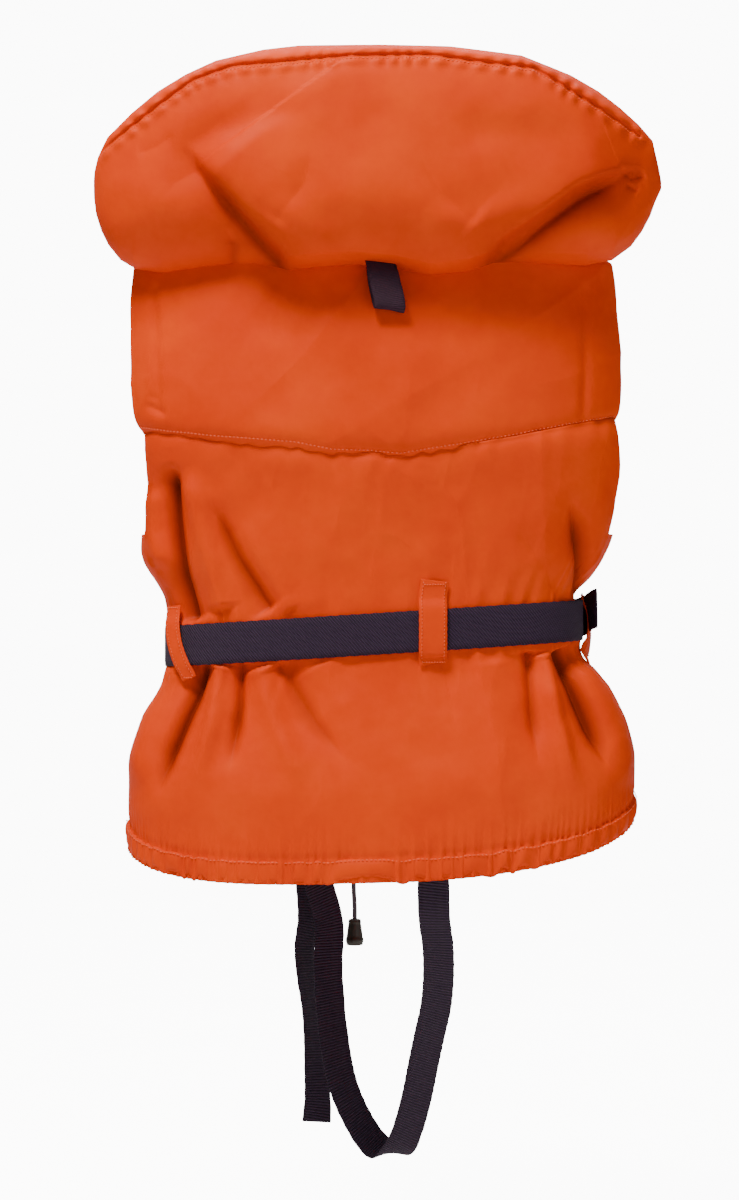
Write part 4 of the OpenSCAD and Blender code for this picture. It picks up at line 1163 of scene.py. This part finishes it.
def box_mesh(name, boxes, material, body, bevel):
    """Rounded blocks from (x0, x1, y0, y1, z0, z1) in millimetres, as one piece."""
    shape = bmesh.new()
    for x0, x1, y0, y1, z0, z1 in boxes:
        made = bmesh.ops.create_cube(shape, size=1.0)["verts"]
        for v in made:
            v.co = Vector(((x0 + x1) / 2 + v.co.x * (x1 - x0), (y0 + y1) / 2 + v.co.y * (y1 - y0),
                           (z0 + z1) / 2 + v.co.z * (z1 - z0))) * MM
    bmesh.ops.bevel(shape, geom=shape.edges[:], offset=bevel * MM, segments=2, profile=0.5, affect="EDGES",
                    clamp_overlap=True)
    data = bpy.data.meshes.new(name)
    shape.to_mesh(data)
    shape.free()
    data.shade_smooth()
    data.set_sharp_from_angle(angle=math.radians(38))
    data.materials.append(material)
    made = bpy.data.objects.new(name, data)
    scene.collection.objects.link(made)
    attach(made, body)
    return made


# Raised ribs on the buckle's face and grip lines on its two arms
BUCKLE_Z = -361
box_mesh("buckle_face_ribs", [(12, 14.4, -182.0, -180, BUCKLE_Z - 13, BUCKLE_Z + 13),
                              (17, 19.4, -182.0, -180, BUCKLE_Z - 13, BUCKLE_Z + 13),
                              (22, 24.4, -182.0, -180, BUCKLE_Z - 13, BUCKLE_Z + 13)],
         acetal, "jacket", 0.5)
for name, body, sign in (("buckle_grip_upper", "buckle_arm_upper", 1),
                         ("buckle_grip_lower", "buckle_arm_lower", -1)):
    box_mesh(name, [(x, x + 1.1, -177.0, -171.6, BUCKLE_Z + sign * 24 - 0.5, BUCKLE_Z + sign * 24 + 0.5)
                    for x in (12.4, 14.6, 16.8, 19.0)], acetal, body, 0.3)


def turned(name, centre, profile, material, body, slot, sides=48, dents=0, dent=0.0):
    """A moulding turned about a vertical axis from (radius, height) points."""
    profile = np.array(profile, float)
    angles = 2 * math.pi * np.arange(sides) / sides
    verts = []
    for r, z in profile:
        ripple = r * (1 - dent * (0.5 + 0.5 * np.cos(dents * angles))) if dents and 6 < r else r + 0 * angles
        verts.append(np.stack([centre[0] + ripple * np.cos(angles), centre[1] + ripple * np.sin(angles),
                               np.full(sides, centre[2] + z)], axis=1))
    faces = [(i * sides + j, (i + 1) * sides + j,
              (i + 1) * sides + (j + 1) % sides, i * sides + (j + 1) % sides)
             for i in range(len(profile) - 1) for j in range(sides)]
    faces.append(tuple(range(sides)))
    faces.append(tuple((len(profile) - 1) * sides + j for j in range(sides - 1, -1, -1)))
    made = mesh_object(name, np.concatenate(verts), faces, [material])
    made.data.set_sharp_from_angle(angle=math.radians(40))
    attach(made, body)
    return made


bell = turned("drawcord_bell_moulding", (24, -150, -673), [
    (2.6, 0.6), (4.6, 0.6), (6.2, 0.1), (6.9, -1.0), (7.1, -3.0), (6.9, -4.6), (7.3, -6), (8.6, -16),
    (9.0, -19.4), (9.7, -20.2), (9.8, -23.4), (9.3, -24.4), (8.9, -26.6), (8.2, -27.4), (7.2, -27.2),
    (6.6, -24)],
    acetal_brown, "drawcord", "black_plastic", 64, 16, 0.03)
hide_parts("drawcord_bell")

whistle = turned("whistle_barrel", (241, -101, -491), [
    (3.0, -0.9), (3.4, -2), (3.4, -8.6), (4.6, -10), (7.4, -11.6), (8.0, -13), (8.0, -20), (7.7, -21),
    (7.7, -23), (8.0, -24), (8.0, -44.6), (7.4, -46), (6.4, -46), (6.2, -30)],
    whistle_plastic, "whistle", "whistle_plastic")
mouth = box_mesh("whistle_mouthpiece", [(236, 246, -109.5, -101, -513, -499),
                                        (238.2, 243.8, -110.3, -107, -511.4, -500.6)],
                 whistle_plastic, "whistle", 1.2)
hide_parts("whistle")
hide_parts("whistle")


# ---------------------------------------------------------------- zip
# A moulded-tooth open-end zip on woven polyester tapes, with a plastic slider and a long pull.
tape, tree = new_material("woven_zip_tape")
place = add(tree, "TexCoord")
parts = add(tree, "SeparateXYZ", None, {"Vector": (place, "Object")})
phase = add(tree, "Math", {"operation": "MULTIPLY"}, {0: (parts, "Z"), 1: 2 * math.pi / 0.0012})
rows = add(tree, "Math", {"operation": "SINE"}, {0: (phase, 0)})
tone = add(tree, "ValToRGB", None, {"Fac": (rows, 0)})
tone.color_ramp.elements[0].color = linear("#B8340A")
tone.color_ramp.elements[1].color = linear("#E0470C")
bump = add(tree, "Bump", None, {"Height": (rows, 0), "Strength": 0.5, "Distance": 0.0003})
close(tree, add(tree, "BsdfPrincipled", None, {
    "Base Color": (tone, "Color"), "Roughness": 0.7, "Normal": (bump, "Normal")}))

ZIP_TOP, ZIP_BOTTOM, ZIP_Y, PITCH = -98, -546, -129, 8
for side, sign, shift in (("left", 1, 0), ("right", -1, PITCH / 2)):
    z = np.linspace(ZIP_TOP, ZIP_BOTTOM - 4, 160)[:, None]
    x = sign * np.linspace(2.8, 24, 9)[::-sign][None, :]
    x, z = np.broadcast_arrays(x, z)
    y = ZIP_Y + 0.5 * noise(x, z, 60, 71) - 1.2 * ease((np.abs(x) - 14) / 10)
    strip = grid_object("zip_tape_cloth_" + side, np.stack([x, y, z], axis=-1)[:, ::-1], [tape])
    thicken(strip, 0.8)
    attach(strip, "jacket")
    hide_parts("zip_tape_" + side)
    count = int((ZIP_TOP - ZIP_BOTTOM - 12) // PITCH)
    low = ZIP_BOTTOM + 8 + shift
    teeth = []
    for i in range(count):
        z0 = low + i * PITCH
        near, far = sorted((sign * 0.8, sign * 4.6))
        teeth.append((near, far, ZIP_Y - 1.5, ZIP_Y + 1.5, z0, z0 + 3.6))
        near, far = sorted((sign * 4.2, sign * 5.6))
        teeth.append((near, far, ZIP_Y - 1.2, ZIP_Y + 1.2, z0 - 0.4, z0 + 4.0))
    row = box_mesh("zip_teeth_moulded_" + side, teeth, zip_plastic, "jacket", 0.45)
    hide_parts("zip_teeth_" + side)

moulded("zip_stops", "jacket", zip_plastic, 0.5)
moulded("zip_box", "jacket", zip_plastic, 0.8)
moulded("zip_slider", "zip_slider", zip_plastic, 0.35)
moulded("zip_pull", "zip_pull", zip_plastic, 0.4)


# ---------------------------------------------------------------- strap tabs and reflective patches
# The crotch strap's ends are held by short webbing tabs inside the hem. A silver reflective
# patch of glass-bead fabric is sewn on each side of the chest.
tab_webbing = webbing_material("woven_polypropylene_tab", "#3A2644", "#0C0612", 2.0, 0.0, 0.8)
for node, x, y, z0, z1 in (("crotch_back_tab", -54, 119.4, -585, -560),
                           ("crotch_front_tab", 75, -132.6, -568, -552)):
    points = np.array([(x, y, z) for z in np.linspace(z0 - 4, z1, 12)])
    tab = strap_mesh(node + "_webbing", points, np.tile([1.0, 0.0, 0.0], (12, 1)), 15, 0.9, [tab_webbing])
    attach(tab, "jacket")
    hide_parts(node)

silver, tree = new_material("reflective_glass_bead_fabric")
place = add(tree, "TexCoord")
cells = add(tree, "TexVoronoi", None, {"Vector": (place, "Object"), "Scale": 320.0})
shade = add(tree, "ValToRGB", None, {"Fac": (cells, "Distance")})
shade.color_ramp.elements[0].color = linear("#E3E6E8")
shade.color_ramp.elements[1].color = linear("#B4BAC0")
bump = add(tree, "Bump", None, {"Height": (cells, "Distance"), "Strength": 0.3, "Distance": 0.0003})
close(tree, add(tree, "BsdfPrincipled", None, {
    "Base Color": (shade, "Color"), "Roughness": 0.32, "Metallic": 0.55, "Normal": (bump, "Normal")}))
for name, u0, u1 in (("reflective_patch_left", 287, 307), ("reflective_patch_right", 233, 253)):
    u, z = np.broadcast_arrays(np.linspace(u0, u1, 60)[None, :], np.linspace(-122, -176, 50)[:, None])
    patch = grid_object(name, on_front(u, z, 0.9), [silver])
    thicken(patch, 0.6)
    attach(patch, "jacket")
    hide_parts("reflective_patches")
    around = [(u0 + 0.7, -124), (u1 - 0.7, -124), (u1 - 0.7, -174), (u0 + 0.7, -174), (u0 + 0.7, -124)]
    line = np.concatenate([np.linspace(p, q, 40) for p, q in zip(around[:-1], around[1:])])
    stitches(name + "_stitches", on_front(line[:, 0], line[:, 1], 1.0), "jacket",
             on_front(line[:, 0], line[:, 1], 6.0) - on_front(line[:, 0], line[:, 1], 1.0), 3.8, 2.6, 0.36)
